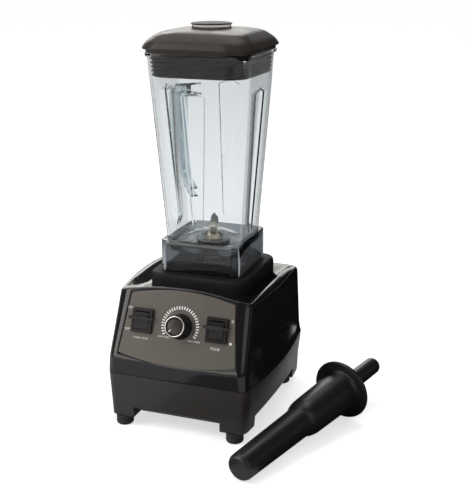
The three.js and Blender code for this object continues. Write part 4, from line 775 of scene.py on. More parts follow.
def jar_skin(wall):
    """Jar as one closed surface: outer rings up, over the lip, and inner rings down."""
    flute = list(np.linspace(258, 423, 20)) + [424.4, 425, 425.7, 427, 428.5, 430, 430.6,
                                               431.2]
    body = [226, 233, 241, 242, 244, 247, 250, 252.5, 253.8, 255] + flute
    neck = [433, 437, 442, 448, 453, 458, 462, 466, 469]
    sample = jar_columns()
    rows = [jar_ring(JAR_BOTTOM, 2), jar_ring(JAR_BOTTOM + 0.6, 0.8),
            jar_ring(JAR_BOTTOM + 2, 0)]
    rows += [jar_ring(h, 0, 0, spout_open(h)) for h in body + neck]
    for h, lip in ((471.4, 0), (471.9, 0.5), (472.1, 2.2), (472.6, RIM_OUT),
                   (476.1, RIM_OUT), (476.8, RIM_OUT - 0.5), (477, RIM_OUT - 1.3)):
        rows.append(jar_ring(h, 0, lip, spout_open(h)))
    for h, inset in ((477, 0.6 * wall), (476.8, 0.88 * wall), (476, wall)):
        rows.append(jar_ring(h, inset, 0, spout_open(h)))
    rows += [jar_ring(h, wall, 0, spout_open(h)) for h in [472] + neck[::-1] + body[:0:-1]]
    for h, inset in ((229, 0), (227, 0.5), (225.6, 1.4), (224.7, 2.8), (224.1, 4.6),
                     (JAR_FLOOR, 6.5)):
        rows.append(jar_ring(h, wall + inset))
    grid = sample @ np.array(rows)
    aim = np.arctan2(grid[-1, :, 1], grid[-1, :, 0])
    bore = [ring_of(NECK_R + GAP, aim, h) for h in (JAR_FLOOR, JAR_BOTTOM)]
    return skin_of(np.concatenate([grid, bore]), True)


def skirt_skin():
    """Skirt: a shell with four flat corners and a thin shelf that meets the jar.

    In a direction, the shell's reach is the power mean of its distances to the side and to
    the corner's flat, r = ((cos a / side)^p + (cos(45 - a) / flat)^p)^(-1/p), which leaves
    every edge slightly round.
    """
    angles = corner_angles(48)
    a = np.abs(np.mod(angles + math.pi / 4, math.pi / 2) - math.pi / 4)
    seat = jar_plan(SKIRT_TOP)[0] + GAP

    def ring(inset, height, p=90):
        """Ring of the shell, moved in by a width, at a height."""
        side, flat = SKIRT_HALF - inset, math.sqrt(2) * (SKIRT_HALF - SKIRT_CHAMFER / 2) - inset
        reach = ((np.cos(a) / side) ** p + (np.cos(math.pi / 4 - a) / flat) ** p) ** (-1 / p)
        return ring_of(reach, angles, height)

    low, wall = PAD_TOP + GAP, SKIRT_HALF - seat
    rows = [ring(inset, height) for inset, height in (
        (0.7, low), (0.2, low + 0.2), (0, low + 0.8), (0, SKIRT_TOP - 1.2),
        (0.2, SKIRT_TOP - 0.5), (0.6, SKIRT_TOP - 0.1), (1.0, SKIRT_TOP))]
    rows += [square_ring(seat, JAR_CORNER_LOW + 0.4, height, angles)
             for height in (SKIRT_TOP, SKIRT_TOP - 2.4)]
    rows += [ring(wall, height) for height in (SKIRT_TOP - 2.4, SKIRT_TOP - 3, low + 1, low)]
    return skin_of(rows, True)


def handle_skin():
    """Handle: an I section with soft corners carried along a bent path.

    The path's corners are joined by cubic curves. Each section stands square to the path,
    grows at both roots, and the end sections lie on the jar's corner, found as its circle's
    crossing at each point's own height.
    """
    path = np.array([[81.5, 417.2, 1.65, 1.2], [84.5, 417.1, 1.6, 1.16],
                     [91, 416.7, 1.3, 1.08], [100, 416, 1.08, 1.0], [110, 412, 1.0, 1.0],
                     [116.5, 404, 1.0, 1.0], [118, 391, 1.0, 1.0], [117.3, 370, 0.98, 0.95],
                     [116, 347, 0.95, 0.9], [114.2, 331, 0.9, 0.87],
                     [112, 316, 0.85, 0.85], [109, 304, 0.8, 0.85], [100, 293, 0.75, 0.9],
                     [84, 281, 0.65, 1.0], [76, 277.9, 0.62, 1.02],
                     [68.6, 275.1, 0.6, 1.04]])
    path = through(path, 7)
    along = np.gradient(path[:, :2], axis=0)
    along /= np.linalg.norm(along, axis=1, keepdims=True)
    w, t = 10.0, 6.5
    section = np.array([[-w, -t], [w, -t], [w, -t + 2], [2, -t + 2.8], [2, t - 2.8],
                        [w, t - 2], [w, t], [-w, t], [-w, t - 2], [-2, t - 2.8],
                        [-2, -t + 2.8], [-w, -t + 2]])
    section = rounding([0.06, 0.06, 0.3, 0.2, 0.22, 0.3, 0.1, 0.06, 0.3, 0.2, 0.22, 0.3],
                       [0.06, 0.3, 0.3, 0.22, 0.2, 0.3, 0.06, 0.3, 0.3, 0.22, 0.2, 0.3],
                       4) @ section
    a, b = section[None, :, 0] * path[:, 2:3], section[None, :, 1] * path[:, 3:]
    reach = path[:, :1] - along[:, 1:] * b
    height = path[:, 1:2] + along[:, :1] * b
    half, corner = jar_plan(height)
    wall = (half - corner) * math.sqrt(2) + np.sqrt(corner ** 2 - np.minimum(a, 20) ** 2)
    reach[[0, -1]] = wall[[0, -1]]
    reach = np.maximum(reach, wall + GAP)
    spin = math.radians(135)
    grid = np.stack([reach * math.cos(spin) - a * math.sin(spin),
                     reach * math.sin(spin) + a * math.cos(spin), up(height)], -1)
    skin = skin_of(grid)
    skin.cap(grid[0])
    skin.cap(grid[-1])
    return skin


# ------------------------------------------------------------------ lid and cap
def lid_skin():
    """Lid as one closed surface round the cap's opening.

    Rings of a square with round corners run up the ribbed band, out under the brim, over
    the dome, which turns from square to round, and back inside.
    """
    angles = corner_angles(40)
    seat, bore = JAR_TOP + GAP, CAP_NECK_R + 3 * GAP
    corner = JAR_CORNER_TOP - JAR_WALL

    def ring(half, round_by, height):
        """Ring of a square whose corners never outgrow it."""
        return square_ring(half, min(round_by, half - 0.01), height, angles)

    rows = [ring(jar_inside(BAND_LOW) - inset, corner - less, BAND_LOW + rise)
            for inset, less, rise in ((5, 3, 0), (2.6, 0, 0), (2.1, 0, 0.4))]
    pitch, rib = (seat - BAND_LOW - 5) / BAND_RIBS, GAP + 0.2
    for h in BAND_LOW + 1.5 + pitch * np.arange(BAND_RIBS):
        rows += [ring(jar_inside(h) - inset, corner, h + rise) for inset, rise in (
            (1.4, -0.6), (rib, 0), (rib, 0.9), (2.4, pitch * 0.5), (2.6, pitch * 0.6))]
    rows += [ring(jar_inside(JAR_TOP) - inset, corner, seat - drop)
             for inset, drop in ((2.2, 3.0), (0.6, 0.6), (0.3, 0))]
    rows += [ring(half, LID_CORNER, height) for half, height in (
        (JAR_HALF_TOP + 1, seat), (JAR_HALF_TOP + 1.6, LID_EDGE), (LID_HALF - 1.6, LID_EDGE))]
    rows += list(through([ring(*row) for row in (
        (LID_HALF - 0.6, LID_CORNER, LID_EDGE + 0.35), (LID_HALF, LID_CORNER, LID_EDGE + 1.8),
        (LID_HALF - 0.9, LID_CORNER, LID_EDGE + 3.9),
        (LID_HALF - 4, LID_CORNER, LID_CROWN - 14.5),
        (LID_HALF - 8.5, LID_CORNER + 0.5, LID_CROWN - 10),
        (LID_HALF - 15, LID_CORNER, LID_CROWN - 5.2),
        (LID_HALF - 24, LID_CORNER, LID_CROWN - 2.4),
        (bore + 14, bore + 8, LID_CROWN - 0.9), (bore + 4, bore + 4, LID_CROWN))], 8))
    rows += [ring(bore + grow, bore + grow, LID_CROWN - drop) for grow, drop in (
        (0.6, 0), (0, 0.6), (0, 15.5), (0.5, 16), (3, 16), (3.4, 4))]
    rows += [ring(LID_HALF - 19, LID_CORNER, LID_CROWN - 8),
             ring(jar_inside(JAR_TOP) - 5, corner - 3, LID_EDGE + 1)]
    return skin_of(rows, True)


def pad_skin():
    """Rubber pad: rounded square rings with a moulded step, a raised block and a dish."""
    angles = corner_angles(36)
    seat, block = DECK - PAD_POCKET, SKIRT_HALF - SKIRT_WALL - 1
    rows = [(PAD_HALF + grow, PAD_CORNER + more, height) for grow, more, height in (
        (-1, -1, seat + GAP), (-0.2, -0.4, seat + 1.2), (0, 0, PAD_TOP - 12.4),
        (0, 0, PAD_TOP - 11), (-0.5, 0, PAD_TOP - 10.6), (-0.5, 0, PAD_TOP - 10),
        (0, 0, PAD_TOP - 9.6), (-0.1, 0, PAD_TOP - 4.6), (-0.5, 0, PAD_TOP - 2.6),
        (-1.3, -0.4, PAD_TOP - 1.1), (-2.4, -1.2, PAD_TOP - 0.3), (-3.6, -2, PAD_TOP),
        (-6, -4, PAD_TOP))]
    rows += [(block + 2, 9, PAD_TOP)]
    rows += [(block + grow, 8, PAD_TOP + rise) for grow, rise in (
        (0.4, 0.2), (0, 0.8), (-0.9, 7.4), (-1.8, 9.2), (-4.6, 11.1), (-6.4, 11.5))]
    rows += [(radius, radius - 0.001, height) for radius, height in (
        (35, PAD_TOP + 11.5), (34, PAD_TOP + 11.1), (29, PAD_TOP + 5), (22, PAD_TOP + 5),
        (21, PAD_TOP + 4), (21, seat + GAP + 0.4), (21.4, seat + GAP))]
    return skin_of([square_ring(*row, angles) for row in rows], True)


# ------------------------------------------------------------------ operators
class PartOperator:
    """What every building operator shares: it runs from the sidebar and can be undone."""

    bl_options = {"REGISTER", "UNDO"}


class BLENDER_OT_housing(PartOperator, bpy.types.Operator):
    """Build the glossy upper housing with its dished deck"""

    bl_idname = "countertop_blender.housing"
    bl_label = "Upper housing"

    def execute(self, context):
        groove = context.scene.blender_sizes.groove / MM
        piece("housing_shell", housing_skin(groove), "gloss_black", "base",
              ["upper_housing"], 30)
        return {"FINISHED"}


class BLENDER_OT_pan(PartOperator, bpy.types.Operator):
    """Finish the base pan and build its rubber feet"""

    bl_idname = "countertop_blender.pan"
    bl_label = "Base pan and feet"

    def execute(self, context):
        soften("base_pan", "charcoal_satin", 0.8, 3)
        soften("cable_gland", "foot_rubber", 0.4)
        for name in ("foot_front_left", "foot_front_right", "foot_rear_left",
                     "foot_rear_right"):
            (x0, x1), (y0, y1) = span(name, 0), span(name, 1)
            radius, seat = (x1 - x0) / 2, LEG_FOOT - GAP
            profile = soft_line([[0, 0, 0], [radius - 1.6, 0, 0], [radius, 1.6, 1.3],
                                 [radius, 5.6, 0.3], [radius - 0.9, 6.2, 0.3],
                                 [radius - 0.9, 7.4, 0.3], [radius, 8.0, 0.3],
                                 [radius, seat, 0.6], [3.6, seat, 0.2],
                                 [3.6, LEG_FOOT + WALL + GAP, 0.1],
                                 [4.6, LEG_FOOT + WALL + GAP, 0.2],
                                 [3.0, LEG_FOOT + WALL + 4, 0.3], [0, LEG_FOOT + WALL + 4, 0]])
            foot = turned(profile, 64) + ((x0 + x1) / 2, (y0 + y1) / 2, WORKTOP)
            piece(name.replace("foot", "rubber_foot"), skin_of(foot), "foot_rubber", "base",
                  [name])
        return {"FINISHED"}


def plates(centres, along, across, half, low, high):
    """Small plates on the panel: eight corners each, square to their own direction.

    Centres and unit directions are panel coordinates; `half` is half of length and width.
    """
    centres, along, across = (np.asarray(v, float) for v in (centres, along, across))
    signs = np.array([[-1, -1], [1, -1], [1, 1], [-1, 1]])
    half = np.broadcast_to(np.asarray(half, float), (len(centres), 2))
    flat = (centres[:, None] + signs[None, :, :1] * half[:, None, :1] * along[:, None]
            + signs[None, :, 1:] * half[:, None, 1:] * across[:, None])
    corners = np.concatenate([np.concatenate([flat, np.full((*flat.shape[:2], 1), z)], -1)
                              for z in (low, high)], 1)
    return Skin().boxes(on_panel(corners))


CAPITAL_HALF = 0.35                              # half a capital's height, as a share


def lettering(name, words, size, x, along):
    """Generic words printed on the panel, centred at a place in panel coordinates."""
    curve = bpy.data.curves.new(name, "FONT")
    curve.body, curve.size, curve.extrude = words, size, LETTER_RISE
    curve.align_x = "CENTER"
    curve.resolution_u = 3
    shape = placed(name + "_words", curve)
    graph = bpy.context.evaluated_depsgraph_get()
    mesh = bpy.data.meshes.new_from_object(shape.evaluated_get(graph))
    bpy.data.objects.remove(shape)
    flat = np.zeros(len(mesh.vertices) * 3)
    mesh.vertices.foreach_get("co", flat)
    flat = flat.reshape(-1, 3)
    flat[:, 0] += x
    flat[:, 1] += along - size * CAPITAL_HALF
    flat[:, 2] += PANEL_FACE + INK_LIFT + LETTER_RISE
    skin = Skin()
    skin.points = [on_panel(flat)]
    skin.faces = [tuple(f.vertices) for f in mesh.polygons]
    bpy.data.meshes.remove(mesh)
    piece(name, skin, "print_white", "base", sharp=20, solid=False)


class BLENDER_OT_panel(PartOperator, bpy.types.Operator):
    """Finish the control panel and print its scale and generic words"""

    bl_idname = "countertop_blender.panel"
    bl_label = "Control panel"

    def execute(self, context):
        soften("control_panel", "panel_grey_satin", 0.4)
        sizes = context.scene.blender_sizes
        spread = math.radians(sizes.scale_spread)
        angle = math.pi / 2 - np.linspace(-spread, spread, sizes.scale_marks)
        out = np.stack([np.cos(angle), np.sin(angle)], -1)
        side = np.stack([-np.sin(angle), np.cos(angle)], -1)
        low, high = PANEL_FACE + INK_LIFT, PANEL_FACE + INK_LIFT + MARK_RISE
        scale = plates(out * SCALE_R + (KNOB_X, KNOB_UP), out, side, MARK_HALF, low, high)
        piece("speed_scale", scale, "print_white", "base")
        x, unit = SWITCH_X + 19.4, np.array([[1.0, 0.0]])
        mark = plates([[x, SWITCH_UP - 14.6]], unit, unit[:, ::-1], (1.5, 1.5), low, high)
        piece("pulse_mark", mark, "print_white", "base")
        hoop = turned(np.array([[0.9, high], [1.9, high], [1.9, low], [0.9, low]]), 32)
        hoop = skin_of(on_panel(hoop + (x - 0.2, SWITCH_UP + 13.4, 0)), True)
        piece("off_mark", hoop, "print_grey", "base")
        for row in (("word_on", "ON", 4.4, -SWITCH_X - 19.0, SWITCH_UP + 14.8),
                    ("word_off", "OFF", 4.2, -SWITCH_X - 19.8, SWITCH_UP - 13.0),
                    ("word_start", "START / STOP", 3.3, -SWITCH_X, SWITCH_UP - 22.6),
                    ("word_low", "LOW SPEED", 3.2, -19.6, KNOB_UP - 15.4),
                    ("word_high", "HIGH SPEED", 3.2, 21.8, KNOB_UP - 16.4),
                    ("word_pulse", "PULSE", 4.6, SWITCH_X, SWITCH_UP - 23.4)):
            lettering(*row)
        return {"FINISHED"}


class BLENDER_OT_switches(PartOperator, bpy.types.Operator):
    """Finish the two rocker switches and their frames"""

    bl_idname = "countertop_blender.switches"
    bl_label = "Switches"

    def execute(self, context):
        for side in ("start", "pulse"):
            soften(side + "_switch_housing", "switch_black", 0.45)
            soften(side + "_rocker", "switch_black", 0.4)
        return {"FINISHED"}


class BLENDER_OT_knob(PartOperator, bpy.types.Operator):
    """Build the speed knob, its bright ring and its pointer"""

    bl_idname = "countertop_blender.knob"
    bl_label = "Speed knob"

    def execute(self, context):
        low = PANEL_FACE + GAP
        high = low + KNOB_H

        def fluted(radius, height, angle):
            """Radius less a rounded flute, as a power of a cosine, on the grip only."""
            skirt = (radius > KNOB_R - 0.9) & (height > low) & (height < high - 2)
            wave = (0.5 + 0.5 * np.cos(18 * angle)) ** 2
            return radius - np.where(skirt, 0.55 * wave, 0.0)

        profile = soft_line([[0, low + 9, 0], [3.4, low + 9, 0.2], [3.4, low, 0.2],
                             [KNOB_R + 3.4, low, 0.5],
                             [KNOB_R - 0.3, high - 2.1, 0.3], [KNOB_R - 1.7, high - 2.1, 0.1],
                             [KNOB_R - 1.7, high, 0.3], [KNOB_R - 2.6, high, 0.3],
                             [KNOB_R - 3.1, high - 0.35, 0.3], [0, high - 0.5, 0]], 4)
        wall = profile[:, 0] > KNOB_R - 0.9
        first = int(np.argmax(wall))
        dense = lerp(profile[first][None], profile[first + 3][None],
                     np.linspace(0, 1, 3)[:, None])
        profile = np.concatenate([profile[:first], dense, profile[first + 4:]])
        ring = soft_line([[KNOB_R - 1.5, high - 1.7, 0], [KNOB_R - 0.1, high - 1.7, 0.3],
                          [KNOB_R - 0.1, high + 0.3, 0.7], [KNOB_R - 1.5, high + 0.3, 0.6],
                          [KNOB_R - 1.5, high - 1.7, 0]], 6)
        disc = soft_line([[0, high - 0.49, 0], [9.4, high - 0.39, 0.1], [9.5, high - 0.2, 0.1],
                          [0, high - 0.22, 0]], 4)
        centre = np.array([KNOB_X, KNOB_UP, 0])
        for name, grid, look, slot, nodes in (
                ("knob_grip", turned(profile, 216, fluted), "knob_black", "knob_black",
                 ["speed_knob"]),
                ("knob_bright_ring", turned(ring, 128), "knob_chrome", "knob_chrome",
                 ["knob_ring"]),
                ("knob_face_disc", turned(disc, 96), "knob_face", "knob_black", [])):
            piece(name, skin_of(on_panel(grid + centre)), look, "knob", nodes)
        out = np.array([[math.cos(POINTER_TURN), math.sin(POINTER_TURN)]])
        pointer = plates(out * POINTER_R + centre[:2], out, out[:, ::-1] * (-1, 1),
                         POINTER_HALF, high - 0.25, high - 0.1)
        piece("knob_pointer", pointer, "print_white", "knob")
        return {"FINISHED"}


class BLENDER_OT_pad(PartOperator, bpy.types.Operator):
    """Build the rubber pad that the jar stands on"""

    bl_idname = "countertop_blender.pad"
    bl_label = "Centering pad"

    def execute(self, context):
        piece("jar_pad", pad_skin(), "pad_rubber", "base", ["centering_pad"])
        return {"FINISHED"}


class BLENDER_OT_jar(PartOperator, bpy.types.Operator):
    """Build the jar, its measuring marks, its handle and its smoke-coloured skirt"""

    bl_idname = "countertop_blender.jar"
    bl_label = "Jar, handle and skirt"

    def execute(self, context):
        wall = context.scene.blender_sizes.jar_wall / MM
        for name, skin, look, node in (
                ("clear_jar", jar_skin(wall), "jar_clear", "jar"),
                ("clear_handle", handle_skin(), "handle_clear", "jar_handle"),
                ("clear_skirt", skirt_skin(), "skirt_smoke", "jar_skirt")):
            piece(name, skin, look, "jar_unit", [node], 40)
        heights = np.linspace(GRADE_LOW, GRADE_HIGH, GRADES)
        half, corner = jar_plan(heights)
        length = np.where(np.arange(GRADES) % 2, 3.0, 5.5)
        left = (-half + corner + 0.5)[:, None]
        x = left + np.array([0, 1, 1, 0, 0, 1, 1, 0]) * length[:, None]
        y = -half[:, None] - np.array([0.05] * 4 + [0.22] * 4)
        z = up(heights)[:, None] + np.array([-0.35, -0.35, 0.35, 0.35] * 2)
        marks = Skin().boxes(np.stack([x, y, z], -1))
        piece("measuring_marks", marks, "jar_marks", "jar_unit")
        return {"FINISHED"}


def second_finish(mesh, look, chosen):
    """Gives a second finish to the faces whose centre, in metres, is chosen."""
    mesh.materials.append(finish(look))
    centres = np.zeros(len(mesh.polygons) * 3)
    mesh.polygons.foreach_get("center", centres)
    mesh.polygons.foreach_set("material_index",
                              chosen(centres.reshape(-1, 3)).astype(np.int32))


class BLENDER_OT_lid(PartOperator, bpy.types.Operator):
    """Build the lid with its ribbed band, and the measuring cap in its middle"""

    bl_idname = "countertop_blender.lid"
    bl_label = "Lid and cap"

    def execute(self, context):
        lid = piece("lid_moulding", lid_skin(), "lid_rubber", "lid_unit",
                    ["lid"], 38)
        second_finish(lid.data, "lid_band", lambda at: at[:, 2] < up(JAR_TOP) * MM)
        flange, low, disc_low = LID_CROWN + GAP, LID_CROWN - 24, CAP_TOP - CAP_DISC
        top = disc_low - GAP
        cup = soft_line([[0, top, 0], [CAP_R - 1, top, 0.4],
                         [CAP_R - 1.6, flange, 0.4], [CAP_NECK_R, flange, 0.3],
                         [CAP_NECK_R - 1, low, 0.5], [CAP_NECK_R - 3.2, low, 0.5],
                         [CAP_NECK_R - 2.6, top - 2.4, 1.0], [0, top - 2.4, 0]], 6)
        disc = soft_line([[0, disc_low, 0], [CAP_R - 0.2, disc_low, 0.3],
                          [CAP_R, disc_low + 0.6, 0.4], [CAP_R - 2.4, CAP_TOP - 0.35, 1.2],
                          [CAP_R - 12, CAP_TOP, 4], [0, CAP_TOP, 0]], 8)
        for name, profile, look, slot, node in (
                ("measuring_cap", cup, "cap_clear", "cap_clear", "cap_body"),
                ("cap_cover", disc, "cap_black", "lid_black", "cap_disc")):
            piece(name, skin_of(turned(profile, 112) + (0, 0, WORKTOP)), look, "lid_plug",
                  [node])
        return {"FINISHED"}


class BLENDER_OT_blades(PartOperator, bpy.types.Operator):
    """Finish the blades, their nut and the bearing hub"""

    bl_idname = "countertop_blender.blades"
    bl_label = "Blade unit"

    def execute(self, context):
        for name in ("lower_blade", "upper_blade"):
            soften(name, "blade_steel", 0.25)
        soften("blade_nut", "hub_brass", 0.4)
        hub = soften("blade_housing", "hub_brass", 0.4)
        second_finish(hub.data, "flange_steel",
                      lambda at: np.hypot(at[:, 0], at[:, 1]) > HUB_R * MM)
        for name in ("blade_shaft", "blade_bearing_lower", "blade_bearing_upper",
                     "retaining_nut", "drive_socket"):
            soften(name, "shaft_steel", 0.3)
        soften("blade_gasket", "foot_rubber", 0.3)
        return {"FINISHED"}


class BLENDER_OT_tamper(PartOperator, bpy.types.Operator):
    """Build the tamper that lies beside the base"""

    bl_idname = "countertop_blender.tamper"
    bl_label = "Tamper"

    def execute(self, context):
        rod, stop, length = TAMPER_ROD, TAMPER_STOP, TAMPER_LENGTH
        disc, tip = TAMPER_STOP_R, TAMPER_TIP_R
        profile = soft_line([[0, 0, 0], [tip - 3, 0.2, 2.4], [tip, 4.5, 3.4],
                             [19.7, rod, 1.6], [22.6, rod + 6, 2.0],
                             [24.4, rod + 14, 5.0], [25.8, stop - 32, 8],
                             [26.2, stop - 7.4, 2.4], [29, stop - 3.2, 2],
                             [disc - 1.2, stop - 2.4, 0.8], [disc, stop - 0.9, 1.0],
                             [disc, stop + 0.9, 1.0], [disc - 1.2, stop + 2.2, 0.8],
                             [16, stop + 4.2, 2.5], [12, stop + 8.4, 2.5],
                             [11.3, length - 4, 2.5], [8.2, length, 3.0],
                             [0, length, 0]], 8)
        rise = math.asin((disc - tip) / (stop - 7))
        lay = (Matrix.Rotation(TAMPER_TURN, 3, "Z")
               @ Matrix.Rotation(math.pi / 2 - rise, 3, "Y"))
        grid = turned(profile, 128) @ np.array(lay).T
        grid += (*TAMPER_TIP, WORKTOP - grid[..., 2].min())
        piece("tamper_moulding", skin_of(grid), "tamper_black", "tamper_unit",
              ["tamper"])
        return {"FINISHED"}


class BLENDER_OT_inner_parts(PartOperator, bpy.types.Operator):
    """Finish the motor, its frame and the speed control inside the base"""

    bl_idname = "countertop_blender.inner_parts"
    bl_label = "Motor and inner parts"

    def execute(self, context):
        looks = {
            "shaft_steel": ("motor_shaft", "motor_bearing_lower", "motor_bearing_upper",
                            "drive_stud", "speed_control_shaft"),
            "core_laminations": ("rotor_core", "stator_core"),
            "winding_copper": ("rotor_winding", "commutator", "field_coil_left",
                       "field_coil_right"),
            "cast_alloy": ("motor_frame_lower", "motor_frame_upper"),
            "brush_carbon": ("brush_front", "brush_rear"),
            "brush_brass": ("brush_holder_front", "brush_holder_rear"),
            "foot_rubber": ("motor_mount_1", "motor_mount_2", "motor_mount_3",
                            "motor_mount_4"),
            "fan_nylon": ("cooling_fan",),
            "board_green": ("speed_board",),
            "pot_blue": ("speed_control_body",),
        }
        for look, names in looks.items():
            for name in names:
                soften(name, look, 0.3, 1)
        return {"FINISHED"}


def card(name, material, corners):
    """Flat card of the studio over four corners, in metres."""
    mesh = bpy.data.meshes.new(name)
    mesh.from_pydata(corners, [], [(0, 1, 2, 3)])
    mesh.materials.append(material)
    made = placed(name, mesh)
    return made


def level_corners(x0, x1, y0, y1, z):
    """Corners of a level rectangle."""
    return [(x0, y0, z), (x1, y0, z), (x1, y1, z), (x0, y1, z)]


def upright_corners(one, two, low, top):
    """Corners of an upright rectangle over two places on the floor."""
    return [(*one, low), (*two, low), (*two, top), (*one, top)]


def card_finish(name, colour, rough=0.95, specular=0.0, glow=0.0):
    """Plain finish of a dark flag or of a glowing card."""
    material, _, shader = tree_of(name)
    fill(shader, {"Base Color": (*colour, 1), "Roughness": rough, "Emission Strength": glow,
                  "Specular IOR Level": specular})
    if glow:
        fill(shader, {"Emission Color": (1, 0.98, 0.95, 1)})
    return material


def lamp(name, place, aim, size, power):
    """Soft square lamp at a place, turned to an aim."""
    light = bpy.data.lights.new(name, "AREA")
    light.shape, light.size, light.energy = "SQUARE", size, power
    turn = (Vector(aim) - Vector(place)).to_track_quat("-Z", "Y").to_matrix().to_4x4()
    placed(name, light).matrix_world = Matrix.Translation(place) @ turn


class BLENDER_OT_stage(PartOperator, bpy.types.Operator):
    """Set the floor, the backdrop, the lamps and the camera"""

    bl_idname = "countertop_blender.stage"
    bl_label = "Stage"

    def execute(self, context):
        scene = context.scene
        look = scene.blender_stage
        floor_z = CAD_BOX[0].z - FLOOR_GAP

        material, tree, shader = tree_of("floor_paper")
        fibres = tree.ranged(tree.noise(700), 0, 1)
        tree.link(tree.tinted(fibres, (0.8, 0.8, 0.8), (0.82, 0.82, 0.82)),
                  shader.inputs["Base Color"])
        fill(shader, {"Roughness": 0.9, "Specular IOR Level": 0.1,
                      "Emission Color": (1, 1, 1, 1)})
        path = tree.node("LightPath")
        lift = tree.node("Math", operation="MULTIPLY")
        fill(lift, {1: look.paper})
        tree.link(tree.seen_white(path), lift.inputs[0])
        tree.link(lift.outputs[0], shader.inputs["Emission Strength"])
        floor_sides = (-FLOOR_HALF, FLOOR_HALF) * 2
        card("floor", material, level_corners(*floor_sides, floor_z))

        scene.world = bpy.data.worlds.new("studio")
        scene.world.use_nodes = True
        tree = Tree(scene.world.node_tree)
        ground, path = tree.nodes["Background"], tree.node("LightPath")
        around = tree.ranged(path.outputs["Is Glossy Ray"], look.ambient, look.mirror, 0, 1)
        level = tree.node("Mix")
        fill(level, {"B": 1.0})
        tree.link(tree.seen_white(path), level.inputs["Factor"])
        tree.link(around, level.inputs["A"])
        fill(ground, {"Color": (1, 1, 1, 1)})
        tree.link(level.outputs["Result"], ground.inputs["Strength"])

        black = card_finish("black_flag", (0.004, 0.004, 0.004))
        grey = card_finish("grey_flag", (0.24, 0.235, 0.23))
        low = floor_z + FLAG_LIFT
        mirrored_only = [
            ("flag_side", black, upright_corners((0.62, -0.2), (0.62, 3.6), 0.24, 1.6)),
            ("flag_side_floor", black, level_corners(0.14, 3.0, -0.2, 3.6, low)),
            ("flag_far_floor", black, level_corners(0.9, 3.0, -0.85, -0.2, low)),
            ("flag_far_front", black, level_corners(-0.1, 3.0, -3.0, -0.85, low)),
            ("flag_back_floor", black, level_corners(-1.6, 0.14, 0.3, 3.0, low)),
            ("flag_front_floor", grey, level_corners(-0.05, 0.09, -0.8, -0.17, low))]
        mirrored_only += [
            (name, card_finish(name, (0, 0, 0), 0.5, specular, glow * look.card), corners)
            for name, specular, glow, corners in (
                ("card_back", 0, 1.0, upright_corners((-3.0, 2.6), (0.1, 2.6), 0.05, 1.25)),
                ("card_back_high", 0, 3.2,
                 upright_corners((-3.0, 2.6), (-0.45, 2.6), 1.26, 2.2)),
                ("card_front", 0, 1.7,
                 upright_corners((-1.15, -1.6), (-0.1, -1.6), 0.06, 0.42)),
                ("card_left", 0, 2.2,
                 upright_corners((-1.5, -0.7), (-0.62, -1.2), 0.2, 1.4)),
                ("card_over", 0.5, 1.5, level_corners(-1.5, -0.3, -0.3, 0.9, 2.2)))]
        for row in mirrored_only:
            made = card(*row)
            made.visible_camera = made.visible_diffuse = made.visible_shadow = False
            made.visible_transmission = False

        lamp("key_lamp", (-1.5, -1.3, 2.1), (0, 0, 0.15), 1.3, look.key)
        lamp("fill_lamp", (1.9, -1.5, 1.3), (0, 0, 0.15), 1.4, look.fill)
        lamp("top_lamp", (-0.1, 0.7, 2.3), (0, 0, 0.2), 1.2, look.top)

        camera = bpy.data.cameras.new("camera")
        camera.lens, camera.sensor_width, camera.sensor_fit = look.lens, 36.0, "AUTO"
        camera.clip_end = 50
        scene.camera = eye = placed("camera", camera)
        eye.matrix_world = (Matrix.Translation(EYE) @ Matrix.Rotation(EYE_YAW, 4, "Z")
                            @ Matrix.Rotation(math.pi / 2 - EYE_PITCH, 4, "X")
                            @ Matrix.Rotation(EYE_ROLL, 4, "Z"))
        scene.view_settings.view_transform = "Standard"
        return {"FINISHED"}


# ------------------------------------------------------------------ user settings
class BlenderSizes(bpy.types.PropertyGroup):
    """Sizes that a user may change."""

    groove: FloatProperty(
        name="Panel groove", description="Open groove round the control panel",
        default=0.0013, min=0.0006, max=0.0013, unit="LENGTH")
    jar_wall: FloatProperty(
        name="Jar wall", description="Thickness of the jar's wall",
        default=0.0024, min=0.0015, max=0.0024, unit="LENGTH")
    scale_marks: IntProperty(
        name="Scale marks", description="Number of marks round the speed knob",
        default=29, min=5, max=60)
    scale_spread: FloatProperty(
        name="Scale spread", description="Reach of the scale to each side, in degrees",
        default=118.0, min=60, max=150)


class BlenderFinishes(bpy.types.PropertyGroup):
    """Colours that a user may change."""

    housing: FloatVectorProperty(
        name="Housing", description="Colour of the upper housing", subtype="COLOR",
        default=(0.0075, 0.0072, 0.0072), min=0, max=1)
    gloss: FloatProperty(
        name="Housing roughness", description="Roughness of the upper housing",
        default=0.11, min=0.03, max=0.6)
    pan: FloatVectorProperty(
        name="Base pan", description="Colour of the base pan", subtype="COLOR",
        default=(0.024, 0.0205, 0.0175), min=0, max=1)
    panel: FloatVectorProperty(
        name="Panel", description="Colour of the control panel", subtype="COLOR",
        default=(0.089, 0.077, 0.064), min=0, max=1)
    jar: FloatVectorProperty(
        name="Jar", description="Tint of the jar", subtype="COLOR",
        default=(0.785, 0.807, 0.816), min=0, max=1)
    handle: FloatVectorProperty(
        name="Handle", description="Tint of the jar's handle", subtype="COLOR",
        default=(0.62, 0.70, 0.74), min=0, max=1)
    skirt: FloatVectorProperty(
        name="Skirt", description="Tint of the jar's skirt", subtype="COLOR",
        default=(0.29, 0.31, 0.33), min=0, max=1)
    lid: FloatVectorProperty(
        name="Lid", description="Colour of the lid", subtype="COLOR",
        default=(0.033, 0.028, 0.0245), min=0, max=1)


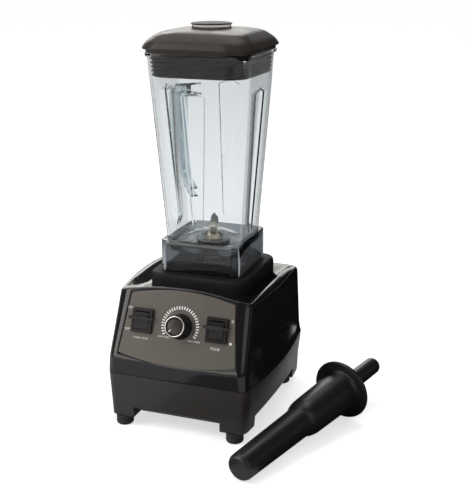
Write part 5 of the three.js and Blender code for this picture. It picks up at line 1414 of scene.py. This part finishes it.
class BlenderStage(bpy.types.PropertyGroup):
    """Lamps, backdrop and lens."""

    key: FloatProperty(name="Key lamp", description="Power of the key lamp", default=26.0,
                       min=0, unit="POWER")
    fill: FloatProperty(name="Fill lamp", description="Power of the fill lamp",
                        default=6.0, min=0, unit="POWER")
    top: FloatProperty(name="Top lamp", description="Power of the top lamp", default=12.0,
                       min=0, unit="POWER")
    ambient: FloatProperty(name="Ambient", description="Strength of the light all round",
                           default=0.5, min=0, max=1)
    mirror: FloatProperty(name="Mirrored surroundings",
                          description="Strength of the surroundings as reflected",
                          default=0.12, min=0, max=1)
    paper: FloatProperty(name="Paper", description="Glow of the floor's paper as seen",
                         default=0.6, min=0, max=1)
    card: FloatProperty(name="Bright cards",
                        description="Strength of the cards that only the parts mirror",
                        default=1.6, min=0)
    lens: FloatProperty(name="Lens", description="Focal length of the camera",
                        default=71.99, min=10, unit="CAMERA")


OPERATORS = (BLENDER_OT_stage, BLENDER_OT_housing, BLENDER_OT_pan, BLENDER_OT_panel,
             BLENDER_OT_switches, BLENDER_OT_knob, BLENDER_OT_pad, BLENDER_OT_jar,
             BLENDER_OT_lid, BLENDER_OT_blades, BLENDER_OT_tamper, BLENDER_OT_inner_parts)


class BLENDER_PT_sidebar(bpy.types.Panel):
    """Sidebar page that lists the building steps and the settings."""

    bl_idname = "BLENDER_PT_countertop_blender"
    bl_label = "Countertop blender"
    bl_space_type = "VIEW_3D"
    bl_region_type = "UI"
    bl_category = "Blender"

    def draw(self, context):
        for group in ("blender_sizes", "blender_finishes", "blender_stage"):
            settings = getattr(context.scene, group)
            for key in settings.bl_rna.properties.keys():
                if key not in ("rna_type", "name"):
                    self.layout.prop(settings, key)
        for operator in OPERATORS:
            self.layout.operator(operator.bl_idname)


CLASSES = (BlenderSizes, BlenderFinishes, BlenderStage, *OPERATORS, BLENDER_PT_sidebar)


def register():
    """Registers the classes and hangs the settings on the scene."""
    for cls in CLASSES:
        bpy.utils.register_class(cls)
    bpy.types.Scene.blender_sizes = PointerProperty(type=BlenderSizes)
    bpy.types.Scene.blender_finishes = PointerProperty(type=BlenderFinishes)
    bpy.types.Scene.blender_stage = PointerProperty(type=BlenderStage)


def unregister():
    """Takes the settings and the classes away again."""
    del bpy.types.Scene.blender_stage
    del bpy.types.Scene.blender_finishes
    del bpy.types.Scene.blender_sizes
    for cls in reversed(CLASSES):
        bpy.utils.unregister_class(cls)


def main():
    register()
    steps = bpy.ops.countertop_blender
    for operator in OPERATORS:
        getattr(steps, operator.bl_idname.split(".")[1])()


if __name__ == "__main__":
    main()
